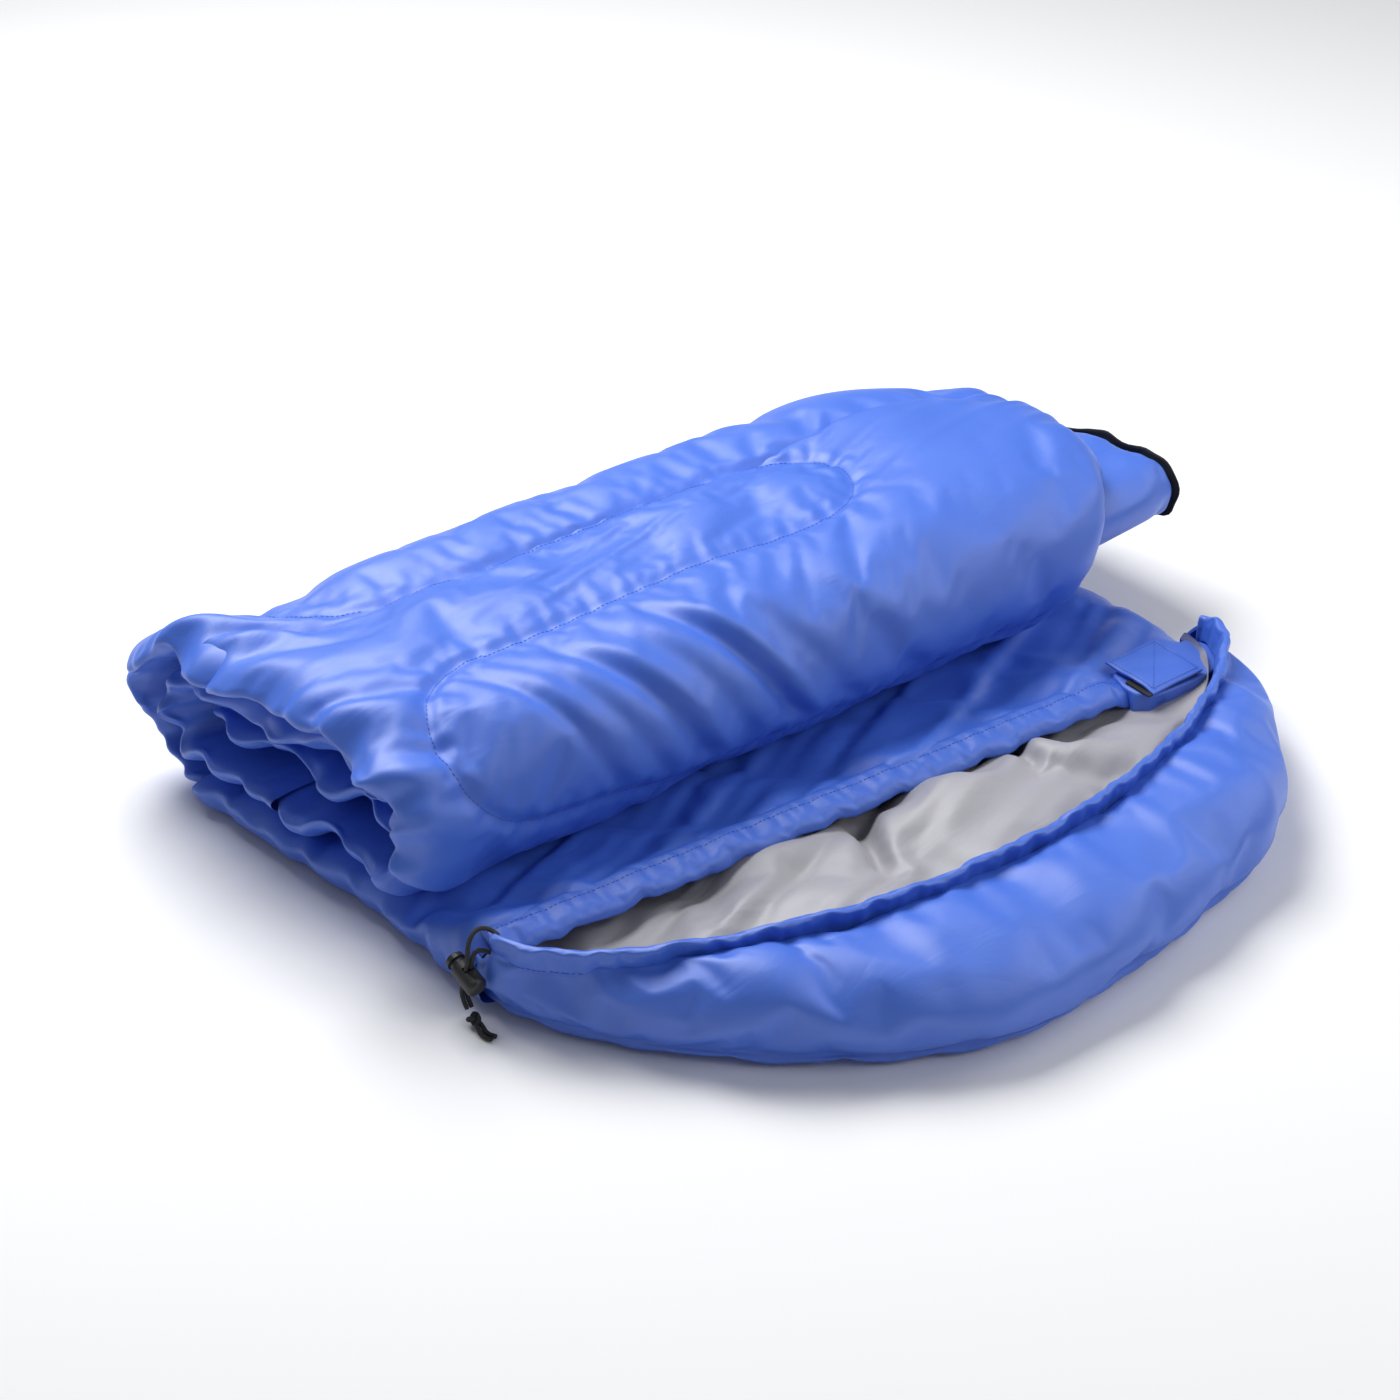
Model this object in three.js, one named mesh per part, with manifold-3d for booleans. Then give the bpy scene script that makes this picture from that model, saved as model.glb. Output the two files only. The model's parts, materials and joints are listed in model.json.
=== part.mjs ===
// Rectangular sleeping bag with a drawcord hood, closed and rolled up on its own mouth.
// Millimetres. +X runs across the bag to its zip side, +Y from the hood to the roll, +Z up.
// The profiles are drawn with y = 0 at the neck line, and the whole group is centred at the end.
import * as THREE from 'three';
import { mergeVertices } from 'three/addons/utils/BufferGeometryUtils.js';
import Module from 'manifold-3d';

const wasm = await Module();
wasm.setup();

// ---------------------------------------------------------------- driving dimensions
const GAP = 0.4; // clearance between pieces that touch
const SHELL = 1.5;
const BATTING = 13;
const LINING = 1.2;
const PANEL = SHELL + BATTING + LINING + 2 * GAP; // one quilted panel
const HALF_BAG = PANEL + 0.7; // both panels, from the mid plane of the closed bag to its outside
const LAYER_PITCH = 37.5; // one turn of the roll to the next

const BASE_HALF_WIDTH = 361;
const ROLL_HALF_WIDTH = 371;
const BINDING = 3.6; // thickness of the bound side seam
const CORE_SHIFT = 55; // how far the inner turns stand out at the zip side

const REAR_TURN_Y = 360; // centre of the turns at the back of the roll
const FRONT_TURN_Y = 140; // centre of the turns at the front of the roll
const FOOT_END_Y = 360; // the foot seam, in the middle of the roll

const MOUTH_Y = 20; // free edge of the front panel
const MOUTH_RISE = 20; // how far the mouth stands open
const MOUTH_RISE_END_Y = 115;
const MOUTH_HEM_WIDTH = 12;
const MOUTH_HEM_HEIGHT = 20;

const HINGE_Y = -55; // the line across the neck that the hood lifts about
const HOOD_HALF_WIDTH = 356;
const HOOD_DEPTH = 268;
const HOOD_EDGE_HALF_WIDTH = 356; // ellipse of the drawn-in hood edge
const HOOD_EDGE_DEPTH = 150;
const HOOD_EDGE_Z = 75;
const HEM_HEIGHT = 24;
const HEM_THICKNESS = 8;
const CHANNEL_RADIUS = 2.4; // drawcord channel in the hem

const CORD_RADIUS = 1.75;
const CORD_SIDES = 8;

const LOCK_CENTRE = new THREE.Vector3(-377, 12, 42);
const LOCK_TILT = THREE.MathUtils.degToRad(17);
const LOCK_RADIUS = 8.3;
const LOCK_BORE = 6.2;
const PLUNGER_TRAVEL = 4;

const ZIP_Z = HALF_BAG; // the zip runs along the mid plane of the base
const TAPE_X = 356.3;
const TAPE_THICKNESS = 1.2;
const TOOTH_ROW_GAP = 1.8;
const TOOTH_ROW_WIDTH = 2.3;
const SLIDER_LENGTH = 14;
const SLIDER_Y = 27;

// ---------------------------------------------------------------- materials
const cloth = (color, roughness) => new THREE.MeshStandardMaterial({ color, roughness, metalness: 0 });
const blueShell = cloth(0x3f6fd6, 0.45);
const blueHem = cloth(0x3564cc, 0.5);
const greyLining = cloth(0xb9b8c0, 0.6);
const whiteBatting = cloth(0xf2f2ee, 0.95);
const blackTape = cloth(0x1c1c1e, 0.8);
const blackCord = cloth(0x111112, 0.85);
const blackPlastic = new THREE.MeshStandardMaterial({ color: 0x141416, roughness: 0.4, metalness: 0 });
const toothPlastic = new THREE.MeshStandardMaterial({ color: 0x202022, roughness: 0.5, metalness: 0 });
const zipMetal = new THREE.MeshStandardMaterial({ color: 0x8d7a4a, roughness: 0.35, metalness: 0.9 });
const springSteel = new THREE.MeshStandardMaterial({ color: 0xb8babd, roughness: 0.3, metalness: 1 });

// ---------------------------------------------------------------- helpers
const bag = new THREE.Group();

function add(name, geometry, material) {
  const mesh = new THREE.Mesh(geometry, material);
  mesh.name = name;
  bag.add(mesh);
  return mesh;
}

// A closed geometry as a manifold-3d solid.
function solid(geometry) {
  const plain = new THREE.BufferGeometry();
  plain.setAttribute('position', geometry.getAttribute('position').clone());
  if (geometry.index) plain.setIndex(geometry.index.clone());
  const merged = mergeVertices(plain, 1e-4);
  return new wasm.Manifold(
    new wasm.Mesh({
      numProp: 3,
      vertProperties: new Float32Array(merged.getAttribute('position').array),
      triVerts: new Uint32Array(merged.index.array),
    }),
  );
}

function geometryOf(manifold) {
  const mesh = manifold.getMesh();
  const position = new Float32Array(mesh.numVert * 3);
  for (let i = 0; i < mesh.numVert; i++) {
    position.set(mesh.vertProperties.subarray(i * mesh.numProp, i * mesh.numProp + 3), i * 3);
  }
  const geometry = new THREE.BufferGeometry();
  geometry.setAttribute('position', new THREE.BufferAttribute(position, 3));
  geometry.setIndex(new THREE.BufferAttribute(new Uint32Array(mesh.triVerts), 1));
  return geometry;
}

function box(x0, x1, y0, y1, z0, z1) {
  const geometry = new THREE.BoxGeometry(x1 - x0, y1 - y0, z1 - z0);
  return geometry.translate((x0 + x1) / 2, (y0 + y1) / 2, (z0 + z1) / 2);
}

const shapeOf = (points) => new THREE.Shape(points.map(([a, b]) => new THREE.Vector2(a, b)));

// An outline in the YZ plane, run along X from x0 to x1.
function alongX(outline, x0, x1) {
  const geometry = new THREE.ExtrudeGeometry(shapeOf(outline), { depth: x1 - x0, bevelEnabled: false });
  const basis = new THREE.Matrix4().makeBasis(
    new THREE.Vector3(0, 1, 0),
    new THREE.Vector3(0, 0, 1),
    new THREE.Vector3(1, 0, 0),
  );
  return geometry.applyMatrix4(basis).translate(x0, 0, 0);
}

// An outline in the XZ plane, run along Y from y0 to y1.
function alongY(outline, y0, y1) {
  const geometry = new THREE.ExtrudeGeometry(shapeOf(outline), { depth: y1 - y0, bevelEnabled: false });
  return geometry.rotateX(Math.PI / 2).translate(0, y1, 0);
}

function tube(curve, steps, radius = CORD_RADIUS) {
  const ring = Array.from({ length: CORD_SIDES }, (_, i) => {
    const angle = (i / CORD_SIDES) * 2 * Math.PI;
    return [radius * Math.cos(angle), radius * Math.sin(angle)];
  });
  return new THREE.ExtrudeGeometry(shapeOf(ring), { steps, bevelEnabled: false, extrudePath: curve });
}

// ---------------------------------------------------------------- the quilted panels, as layers
// offset: distance from the mid plane of the closed bag, positive towards the back panel.
const INNER = 0.7;
const LAYERS = [
  { part: 'back_shell', from: HALF_BAG - SHELL, to: HALF_BAG, material: blueShell },
  { part: 'back_batting', from: INNER + LINING + GAP, to: HALF_BAG - SHELL - GAP, material: whiteBatting },
  { part: 'back_lining', from: INNER, to: INNER + LINING, material: greyLining },
  { part: 'front_lining', from: -INNER - LINING, to: -INNER, material: greyLining },
  { part: 'front_batting', from: -HALF_BAG + SHELL + GAP, to: -INNER - LINING - GAP, material: whiteBatting },
  { part: 'front_shell', from: -HALF_BAG, to: -HALF_BAG + SHELL, material: blueShell },
];

// ---------------------------------------------------------------- base: the turn that lies on the ground
function mouthRise(y) {
  const t = THREE.MathUtils.clamp((MOUTH_RISE_END_Y - y) / (MOUTH_RISE_END_Y - MOUTH_Y), 0, 1);
  return MOUTH_RISE * t * t * (3 - 2 * t);
}

// Front panel layers rise towards the mouth. z0 and z1 are where the layer lies flat.
function risingOutline(z0, z1, y0, y1) {
  const steps = 10;
  const ys = Array.from({ length: steps + 1 }, (_, i) => y0 + ((MOUTH_RISE_END_Y - y0) * i) / steps);
  ys.push(y1);
  const under = ys.map((y) => [y, z0 + mouthRise(y)]);
  const over = ys.map((y) => [y, z1 + mouthRise(y)]).reverse();
  return [...under, ...over];
}

// Back panel layers lie flat, and narrow towards the hood along the hood's own ellipse.
function neckOutline(halfLeft, right) {
  const shape = new THREE.Shape();
  const endY = HINGE_Y + GAP;
  const steps = 6;
  shape.moveTo(right, REAR_TURN_Y - GAP);
  shape.lineTo(-halfLeft, REAR_TURN_Y - GAP);
  shape.lineTo(-halfLeft, 0);
  const edge = (y) => Math.min(HOOD_HALF_WIDTH * Math.sqrt(1 - (y / HOOD_DEPTH) ** 2), halfLeft, right);
  for (let i = 1; i <= steps; i++) shape.lineTo(-edge((endY * i) / steps), (endY * i) / steps);
  for (let i = steps; i >= 1; i--) shape.lineTo(edge((endY * i) / steps), (endY * i) / steps);
  shape.lineTo(right, 0);
  return shape;
}

const FILLING_RIGHT = 350; // linings and batting stop short of the zip, to leave the slider its room
const SHELL_RIGHT = 356;

for (const { part, from, to, material } of LAYERS) {
  const right = part.endsWith('shell') ? SHELL_RIGHT : FILLING_RIGHT;
  const [z0, z1] = [HALF_BAG - to, HALF_BAG - from];
  if (part.startsWith('back')) {
    const flat = new THREE.ExtrudeGeometry(neckOutline(BASE_HALF_WIDTH, right), {
      depth: z1 - z0,
      bevelEnabled: false,
    });
    add(`base_${part}`, flat.translate(0, 0, z0), material);
  } else {
    const outline = risingOutline(z0, z1, MOUTH_Y, REAR_TURN_Y - GAP);
    add(`base_${part}`, alongX(outline, -BASE_HALF_WIDTH + 3, right), material);
  }
}

// The hem on the front panel's free edge, a rounded bar that hangs over the edge.
function roundedBar(width, height, radius) {
  const shape = new THREE.Shape();
  const [w, h] = [width / 2 - radius, height / 2 - radius];
  shape.absarc(w, h, radius, 0, Math.PI / 2, false);
  shape.absarc(-w, h, radius, Math.PI / 2, Math.PI, false);
  shape.absarc(-w, -h, radius, Math.PI, 1.5 * Math.PI, false);
  shape.absarc(w, -h, radius, 1.5 * Math.PI, 2 * Math.PI, false);
  return shape;
}
const mouthHemCentre = [MOUTH_Y - GAP - MOUTH_HEM_WIDTH / 2, 2 * HALF_BAG + MOUTH_RISE - MOUTH_HEM_HEIGHT / 2 + 2];
const mouthHem = roundedBar(MOUTH_HEM_WIDTH, MOUTH_HEM_HEIGHT, 5)
  .extractPoints(5)
  .shape.map((p) => [p.x + mouthHemCentre[0], p.y + mouthHemCentre[1]]);
mouthHem.pop(); // the outline's last point repeats its first
add('mouth_hem', alongX(mouthHem, -330, 330), blueHem);

// Bound seam on the closed long side.
const seamOutline = [
  ...risingOutline(0, 2 * HALF_BAG, MOUTH_Y, REAR_TURN_Y - GAP),
].map(([y, z]) => [y, z < HALF_BAG + MOUTH_RISE && z <= mouthRise(y) + 0.01 ? 0 : z]);
add('base_side_binding', alongX(seamOutline, -BASE_HALF_WIDTH - GAP - BINDING, -BASE_HALF_WIDTH - GAP), blueHem);

// ---------------------------------------------------------------- zip along the base
const rowInner = ZIP_Z + TOOTH_ROW_GAP / 2;
const rowOuter = rowInner + TOOTH_ROW_WIDTH;
const tapeInner = rowOuter + GAP;
const teethX = [TAPE_X - 1.3, TAPE_X + TAPE_THICKNESS + 1.3];
const zipStartY = 17;

const upperTape = risingOutline(tapeInner, 2 * HALF_BAG, MOUTH_Y, REAR_TURN_Y - GAP).map(([y, z]) => [
  y,
  z < tapeInner + mouthRise(y) + 0.01 ? tapeInner : z,
]);
add('zip_tape_front', alongX(upperTape, TAPE_X, TAPE_X + TAPE_THICKNESS), blackTape);
add(
  'zip_tape_back',
  box(TAPE_X, TAPE_X + TAPE_THICKNESS, 0, REAR_TURN_Y - GAP, 0, 2 * ZIP_Z - tapeInner),
  blackTape,
);
add('zip_teeth_front', box(...teethX, zipStartY, REAR_TURN_Y - GAP, rowInner, rowOuter), toothPlastic);
add(
  'zip_teeth_back',
  box(...teethX, zipStartY, REAR_TURN_Y - GAP, 2 * ZIP_Z - rowOuter, 2 * ZIP_Z - rowInner),
  toothPlastic,
);
add(
  'zip_top_stop',
  box(...teethX, zipStartY - GAP - 3, zipStartY - GAP, 2 * ZIP_Z - rowOuter, rowOuter),
  zipMetal,
);

// Slider: two plates joined by a thin post between the rows of teeth, with lugs and a pin for the pull.
const plate = 1.5;
const plateReach = 5.7; // half its width, across the zip
const innerPlateX = teethX[0] - GAP - plate;
const outerPlateX = teethX[1] + GAP;
const post = 0.5;
const rim = 1.2;
const sliderSection = [
  [innerPlateX, ZIP_Z - plateReach],
  [innerPlateX + plate, ZIP_Z - plateReach],
  [innerPlateX + plate, ZIP_Z - post],
  [outerPlateX, ZIP_Z - post],
  [outerPlateX, ZIP_Z - plateReach + rim],
  [outerPlateX - 1.1, ZIP_Z - plateReach + rim],
  [outerPlateX - 1.1, ZIP_Z - plateReach],
  [outerPlateX + plate, ZIP_Z - plateReach],
  [outerPlateX + plate, ZIP_Z + plateReach],
  [outerPlateX - 1.1, ZIP_Z + plateReach],
  [outerPlateX - 1.1, ZIP_Z + plateReach - rim],
  [outerPlateX, ZIP_Z + plateReach - rim],
  [outerPlateX, ZIP_Z + post],
  [innerPlateX + plate, ZIP_Z + post],
  [innerPlateX + plate, ZIP_Z + plateReach],
  [innerPlateX, ZIP_Z + plateReach],
];
const sliderY = [SLIDER_Y - SLIDER_LENGTH / 2, SLIDER_Y + SLIDER_LENGTH / 2];
const pinX = outerPlateX + plate + 2.8;
const lugReach = [2.5, 3.6]; // each lug, from the zip's centre line
let slider = solid(alongY(sliderSection, ...sliderY));
for (const side of [-1, 1]) {
  const z = lugReach.map((reach) => ZIP_Z + side * reach).sort((a, b) => a - b);
  slider = slider.add(solid(box(outerPlateX + plate - 0.2, pinX + 1.4, SLIDER_Y - 2, SLIDER_Y + 2, ...z)));
}
const pin = new THREE.CylinderGeometry(0.85, 0.85, 2 * lugReach[1] - 0.4, 16);
pin.rotateX(Math.PI / 2).translate(pinX, SLIDER_Y, ZIP_Z);
add('zip_slider_body', geometryOf(slider.add(solid(pin))), zipMetal);

// Pull: a flat tab with an eye that turns on the slider's pin.
const PULL_LENGTH = 27;
const pullShape = new THREE.Shape();
pullShape.absarc(0, PULL_LENGTH, 2, 0, Math.PI, false);
pullShape.absarc(0, 0, 2.3, Math.PI * 0.83, Math.PI * 2.17, false);
pullShape.holes.push(new THREE.Path().absarc(0, 0, 1.2, 0, 2 * Math.PI, true));
const pull = new THREE.ExtrudeGeometry(pullShape, { depth: 4.4, bevelEnabled: false, curveSegments: 8 });
pull.translate(pinX, SLIDER_Y, ZIP_Z - 2.2);
add('zip_pull_tab', pull, zipMetal);

// ---------------------------------------------------------------- the roll, and the turn that joins it to the base
const layerZ = (turn) => HALF_BAG + LAYER_PITCH * turn;
// Arcs and straights of the mid plane, from the back of the base round into the middle of the roll.
// Places on it are [y, z]. Every turn bends the same way.
function arc(centreY, centreZ, radius, fromDeg, toDeg, steps, drift = 0) {
  return Array.from({ length: steps + 1 }, (_, i) => {
    const angle = THREE.MathUtils.degToRad(fromDeg + ((toDeg - fromDeg) * i) / steps);
    return { y: centreY + radius * Math.cos(angle), z: centreZ + radius * Math.sin(angle), angle, drift };
  });
}
const [zBase, zUnder, zCore, zInner, zTop] = [0, 1, 2, 3, 4].map(layerZ);
const rearTurn = arc(REAR_TURN_Y, (zBase + zTop) / 2, (zTop - zBase) / 2, -90, 90, 18);
const rollPath = [
  { y: REAR_TURN_Y - GAP, z: zTop, angle: Math.PI / 2 },
  ...arc(FRONT_TURN_Y, (zTop + zUnder) / 2, (zTop - zUnder) / 2, 90, 270, 14),
  ...arc(REAR_TURN_Y, (zUnder + zInner) / 2, (zInner - zUnder) / 2, -90, 90, 10, CORE_SHIFT),
  ...arc(FRONT_TURN_Y, (zInner + zCore) / 2, (zInner - zCore) / 2, 90, 270, 8, CORE_SHIFT),
  { y: FOOT_END_Y, z: zCore, angle: 1.5 * Math.PI, drift: CORE_SHIFT },
];

// A band that follows a path between two offsets from its mid plane, and reaches from x0 to x1.
// The outward side is the back panel's.
function band(path, from, to, x0, x1) {
  const corners = [[from, x0], [to, x0], [to, x1], [from, x1]];
  const position = path.flatMap(({ y, z, angle, drift = 0 }) =>
    corners.flatMap(([offset, x]) => [x + drift, y + offset * Math.cos(angle), z + offset * Math.sin(angle)]),
  );
  const index = [];
  const quad = (a, b, c, d) => index.push(a, b, c, a, c, d);
  const last = 4 * (path.length - 1);
  for (let near = 0; near < last; near += 4) {
    const far = near + 4;
    for (let side = 0; side < 4; side++) {
      const next = (side + 1) % 4;
      quad(near + side, far + side, far + next, near + next);
    }
  }
  quad(0, 1, 2, 3);
  quad(last + 3, last + 2, last + 1, last);
  const geometry = new THREE.BufferGeometry();
  geometry.setAttribute('position', new THREE.Float32BufferAttribute(position, 3));
  geometry.setIndex(index);
  return geometry;
}
const rollBand = (from, to, x0, x1) => band(rollPath, from, to, x0, x1);

for (const { part, from, to, material } of LAYERS) {
  add(`roll_${part}`, rollBand(from, to, -ROLL_HALF_WIDTH, ROLL_HALF_WIDTH), material);
}
const rollLeft = -ROLL_HALF_WIDTH - GAP;
const rollRight = ROLL_HALF_WIDTH + GAP;
add('roll_side_binding', rollBand(-HALF_BAG, HALF_BAG, rollLeft - BINDING, rollLeft), blueHem);
add('roll_zip_tape_back', rollBand(3.5, HALF_BAG, rollRight, rollRight + 1.4), blackTape);
add('roll_zip_tape_front', rollBand(-HALF_BAG, -3.5, rollRight, rollRight + 1.4), blackTape);
add('roll_zip_teeth', rollBand(-3, 3, rollRight, rollRight + 3.2), toothPlastic);
// Foot seam across the end of the bag, in the middle of the roll.
add(
  'foot_end_binding',
  box(
    -ROLL_HALF_WIDTH + CORE_SHIFT,
    ROLL_HALF_WIDTH + CORE_SHIFT,
    FOOT_END_Y + GAP,
    FOOT_END_Y + GAP + BINDING,
    zCore - HALF_BAG,
    zCore + HALF_BAG,
  ),
  blueHem,
);

// The turn between base and roll, where the cloth bends as the roll is opened.
const turnWidth = (BASE_HALF_WIDTH + ROLL_HALF_WIDTH) / 2;
const turnBand = (from, to, x0, x1) => band(rearTurn, from, to, x0, x1);
for (const { part, from, to, material } of LAYERS) {
  add(`turn_${part}`, turnBand(from, to, -turnWidth, SHELL_RIGHT), material);
}
add('turn_zip', turnBand(-8, 8, SHELL_RIGHT + GAP, SHELL_RIGHT + GAP + 2.4), blackTape);

// ---------------------------------------------------------------- hood: a shallow pocket with a drawn-in edge
// The outside of the hood in its radial plane, as [radius, z], from the axis under the floor to the top.
const hoodOutside = [
  [0, 0],
  [238, 0],
  [254, 5],
  [264, 16],
  [268, 31],
  [265, 47],
  [254, 62],
  [234, 74],
  [206, 83],
  [172, 88],
  [100, 90],
];

// The same curve moved inwards by a distance, along its own normals.
function inset(points, distance) {
  return points.map(([r, z], i) => {
    const before = points[Math.max(i - 1, 0)];
    const after = points[Math.min(i + 1, points.length - 1)];
    const along = new THREE.Vector2(after[0] - before[0], after[1] - before[1]).normalize();
    return [i === 0 ? 0 : r - along.y * distance, z + along.x * distance];
  });
}

const HOOD_STRETCH = HOOD_HALF_WIDTH / HOOD_DEPTH;
const hoodHalfSpace = solid(box(-500, 500, -400, HINGE_Y - GAP, -10, 200));

function edgeCylinder(halfWidth, depth, z0, z1) {
  const cylinder = new THREE.CylinderGeometry(1, 1, z1 - z0, 96);
  cylinder.rotateX(Math.PI / 2).scale(halfWidth, depth, 1).translate(0, 0, (z0 + z1) / 2);
  return solid(cylinder);
}
const hemReach = HEM_THICKNESS / 2 + 2 * GAP;
const hoodOpening = edgeCylinder(HOOD_EDGE_HALF_WIDTH + hemReach, HOOD_EDGE_DEPTH + hemReach, 30, 150);

function hoodLayer(outer, inner) {
  const profile = [...inset(hoodOutside, outer), ...inset(hoodOutside, inner).reverse()];
  profile[profile.length - 1][0] = 0;
  const ring = new THREE.LatheGeometry(
    profile.map(([r, z]) => new THREE.Vector2(r, z)).concat(new THREE.Vector2(...profile[0])),
    72,
  );
  ring.rotateX(Math.PI / 2).scale(HOOD_STRETCH, 1, 1);
  return solid(ring).intersect(hoodHalfSpace).subtract(hoodOpening);
}

const hoodLayers = [
  ['hood_shell', 0, SHELL, blueShell],
  ['hood_batting', SHELL + GAP, SHELL + GAP + BATTING, whiteBatting],
  ['hood_lining', PANEL - LINING, PANEL, greyLining],
];
for (const [name, outer, inner, material] of hoodLayers) add(name, geometryOf(hoodLayer(outer, inner)), material);

// The hood's edge hem, a flat tube that the drawcord runs in. Its two ends are sewn down at the neck.
class EdgeCurve extends THREE.Curve {
  constructor(fromDeg, toDeg) {
    super();
    this.from = THREE.MathUtils.degToRad(fromDeg);
    this.to = THREE.MathUtils.degToRad(toDeg);
  }
  getPoint(t, target = new THREE.Vector3()) {
    const angle = this.from + (this.to - this.from) * t;
    return target.set(HOOD_EDGE_HALF_WIDTH * Math.cos(angle), HOOD_EDGE_DEPTH * Math.sin(angle), HOOD_EDGE_Z);
  }
}

function hem(curve, steps) {
  const section = roundedBar(HEM_HEIGHT, HEM_THICKNESS, 3.5);
  section.holes.push(new THREE.Path().absarc(0, 0, CHANNEL_RADIUS, 0, 2 * Math.PI, true));
  return solid(
    new THREE.ExtrudeGeometry(section, { steps, curveSegments: 3, bevelEnabled: false, extrudePath: curve }),
  );
}
const neckHalfSpace = solid(box(-500, 500, HINGE_Y + GAP, 200, -10, 200));
const edgeAngle = THREE.MathUtils.radToDeg(Math.asin(HINGE_Y / HOOD_EDGE_DEPTH)); // where the edge meets the hinge line
const wholeEdge = new EdgeCurve(180 - edgeAngle - 4, 360 + edgeAngle + 4);
add('hood_hem', geometryOf(hem(wholeEdge, 48).intersect(hoodHalfSpace)), blueHem);
add('drawcord_in_hem', geometryOf(solid(tube(wholeEdge, 48)).intersect(hoodHalfSpace)), blackCord);

const leftEnd = new EdgeCurve(180, 180 - edgeAngle + 4);
const rightEnd = new EdgeCurve(356, 356 + edgeAngle + 0.1);
add('hem_end_left', geometryOf(hem(leftEnd, 6).intersect(neckHalfSpace)), blueHem);
add('drawcord_in_corner', geometryOf(solid(tube(leftEnd, 6)).intersect(neckHalfSpace)), blackCord);
const rightHem = hem(new EdgeCurve(360 + edgeAngle - 4, 356), 6);
add('hem_end_right', geometryOf(rightHem.intersect(neckHalfSpace)), blueHem);

// Corner gussets fill the sides of the bag between its back panel and the hem ends.
const floorTop = PANEL + GAP;
const gussetTop = HOOD_EDGE_Z - HEM_HEIGHT / 2 - GAP;
const NECK_X = HOOD_HALF_WIDTH * Math.sqrt(1 - (HINGE_Y / HOOD_DEPTH) ** 2); // half width at the hinge line
function gusset(side, outerX) {
  const rearY = 7;
  const outline = [
    [side * 322, HINGE_Y + GAP],
    [side * (NECK_X - 1), HINGE_Y + GAP],
    [side * outerX, 0],
    [side * outerX, rearY],
    [side * 322, rearY],
  ];
  const geometry = new THREE.ExtrudeGeometry(shapeOf(outline), { depth: gussetTop - floorTop, bevelEnabled: false });
  return geometry.translate(0, 0, floorTop);
}
add('gusset_left', gusset(-1, 355), blueShell);
add('gusset_right', gusset(1, 353.5), blueShell);

// ---------------------------------------------------------------- hook-and-loop guard over the top of the zip
// The tab is sewn to the mouth hem and lies forwards over the gap, on a patch that stands on the back panel.
const GUARD_X = [262, 318];
const GUARD_Y = [-48, 14];
const PATCH_Y = [-41, -14];
const TAB_THICKNESS = 1.6;
const HOOK_THICKNESS = 1.2;
const LOOP_THICKNESS = 1.4;
const tabZ = mouthHemCentre[1] + MOUTH_HEM_HEIGHT / 2 + GAP;
const hookZ = tabZ - GAP - HOOK_THICKNESS;
const loopZ = hookZ - GAP - LOOP_THICKNESS;
const [guardX0, guardX1] = GUARD_X;
const [guardY0, guardY1] = GUARD_Y;
const [patchY0, patchY1] = PATCH_Y;
add('guard_tab', box(guardX0, guardX1, guardY0, guardY1, tabZ, tabZ + TAB_THICKNESS), blueHem);
add('guard_hook_patch', box(guardX0 + 4, guardX1 - 4, patchY0, patchY1, hookZ, hookZ + HOOK_THICKNESS), blackTape);
add('guard_loop_patch', box(guardX0 - 4, guardX1 - 4, patchY0, patchY1, loopZ, loopZ + LOOP_THICKNESS), blackTape);
// The pad stops short of the hood's hinge line, so that the hood's side clears it when the hood is lifted.
add('guard_pad', box(guardX0 - 7, guardX1, patchY0 - 3, 6, floorTop, loopZ - GAP), blueShell);

// ---------------------------------------------------------------- drawcord, lock and knot at the left corner
// Lock frame: its axis points to the domed end, and the cord crosses it downwards.
const lockAxis = new THREE.Vector3(0, -Math.cos(LOCK_TILT), -Math.sin(LOCK_TILT));
const cordWay = new THREE.Vector3(0, Math.sin(LOCK_TILT), -Math.cos(LOCK_TILT));
const lockBasis = new THREE.Matrix4().makeBasis(
  new THREE.Vector3().crossVectors(lockAxis, cordWay),
  lockAxis,
  cordWay,
);
const inLock = (geometry) =>
  geometry.applyMatrix4(lockBasis).translate(LOCK_CENTRE.x, LOCK_CENTRE.y, LOCK_CENTRE.z);
const atLock = (x, along) => LOCK_CENTRE.clone().addScaledVector(cordWay, along).add(new THREE.Vector3(x, 0, 0));

const STRAND = CORD_RADIUS + 0.2; // each strand's distance from the middle of the hole
const barrelRear = -9;
const barrelFront = 15.5;
const boreEnd = 13;
const slot = [8.6, 5]; // the hole for the two strands, across and along the lock
const barrelProfile = [
  [0, boreEnd],
  [LOCK_BORE, boreEnd],
  [LOCK_BORE, barrelRear],
  [LOCK_RADIUS - 0.8, barrelRear],
  [LOCK_RADIUS, barrelRear + 0.8],
  [LOCK_RADIUS, barrelFront - 3],
  [LOCK_RADIUS - 1.2, barrelFront - 1],
  [LOCK_RADIUS - 3.5, barrelFront],
  [0, barrelFront],
];
const lathe = (profile, segments) =>
  new THREE.LatheGeometry(profile.map(([r, y]) => new THREE.Vector2(r, y)), segments);
const across = (along0, along1) => box(-slot[0] / 2, slot[0] / 2, along0, along1, -20, 20);
const barrel = solid(lathe(barrelProfile, 32)).subtract(solid(across(-slot[1] / 2, slot[1] / 2)));
add('cord_lock_barrel', inLock(geometryOf(barrel)), blackPlastic);

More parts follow.
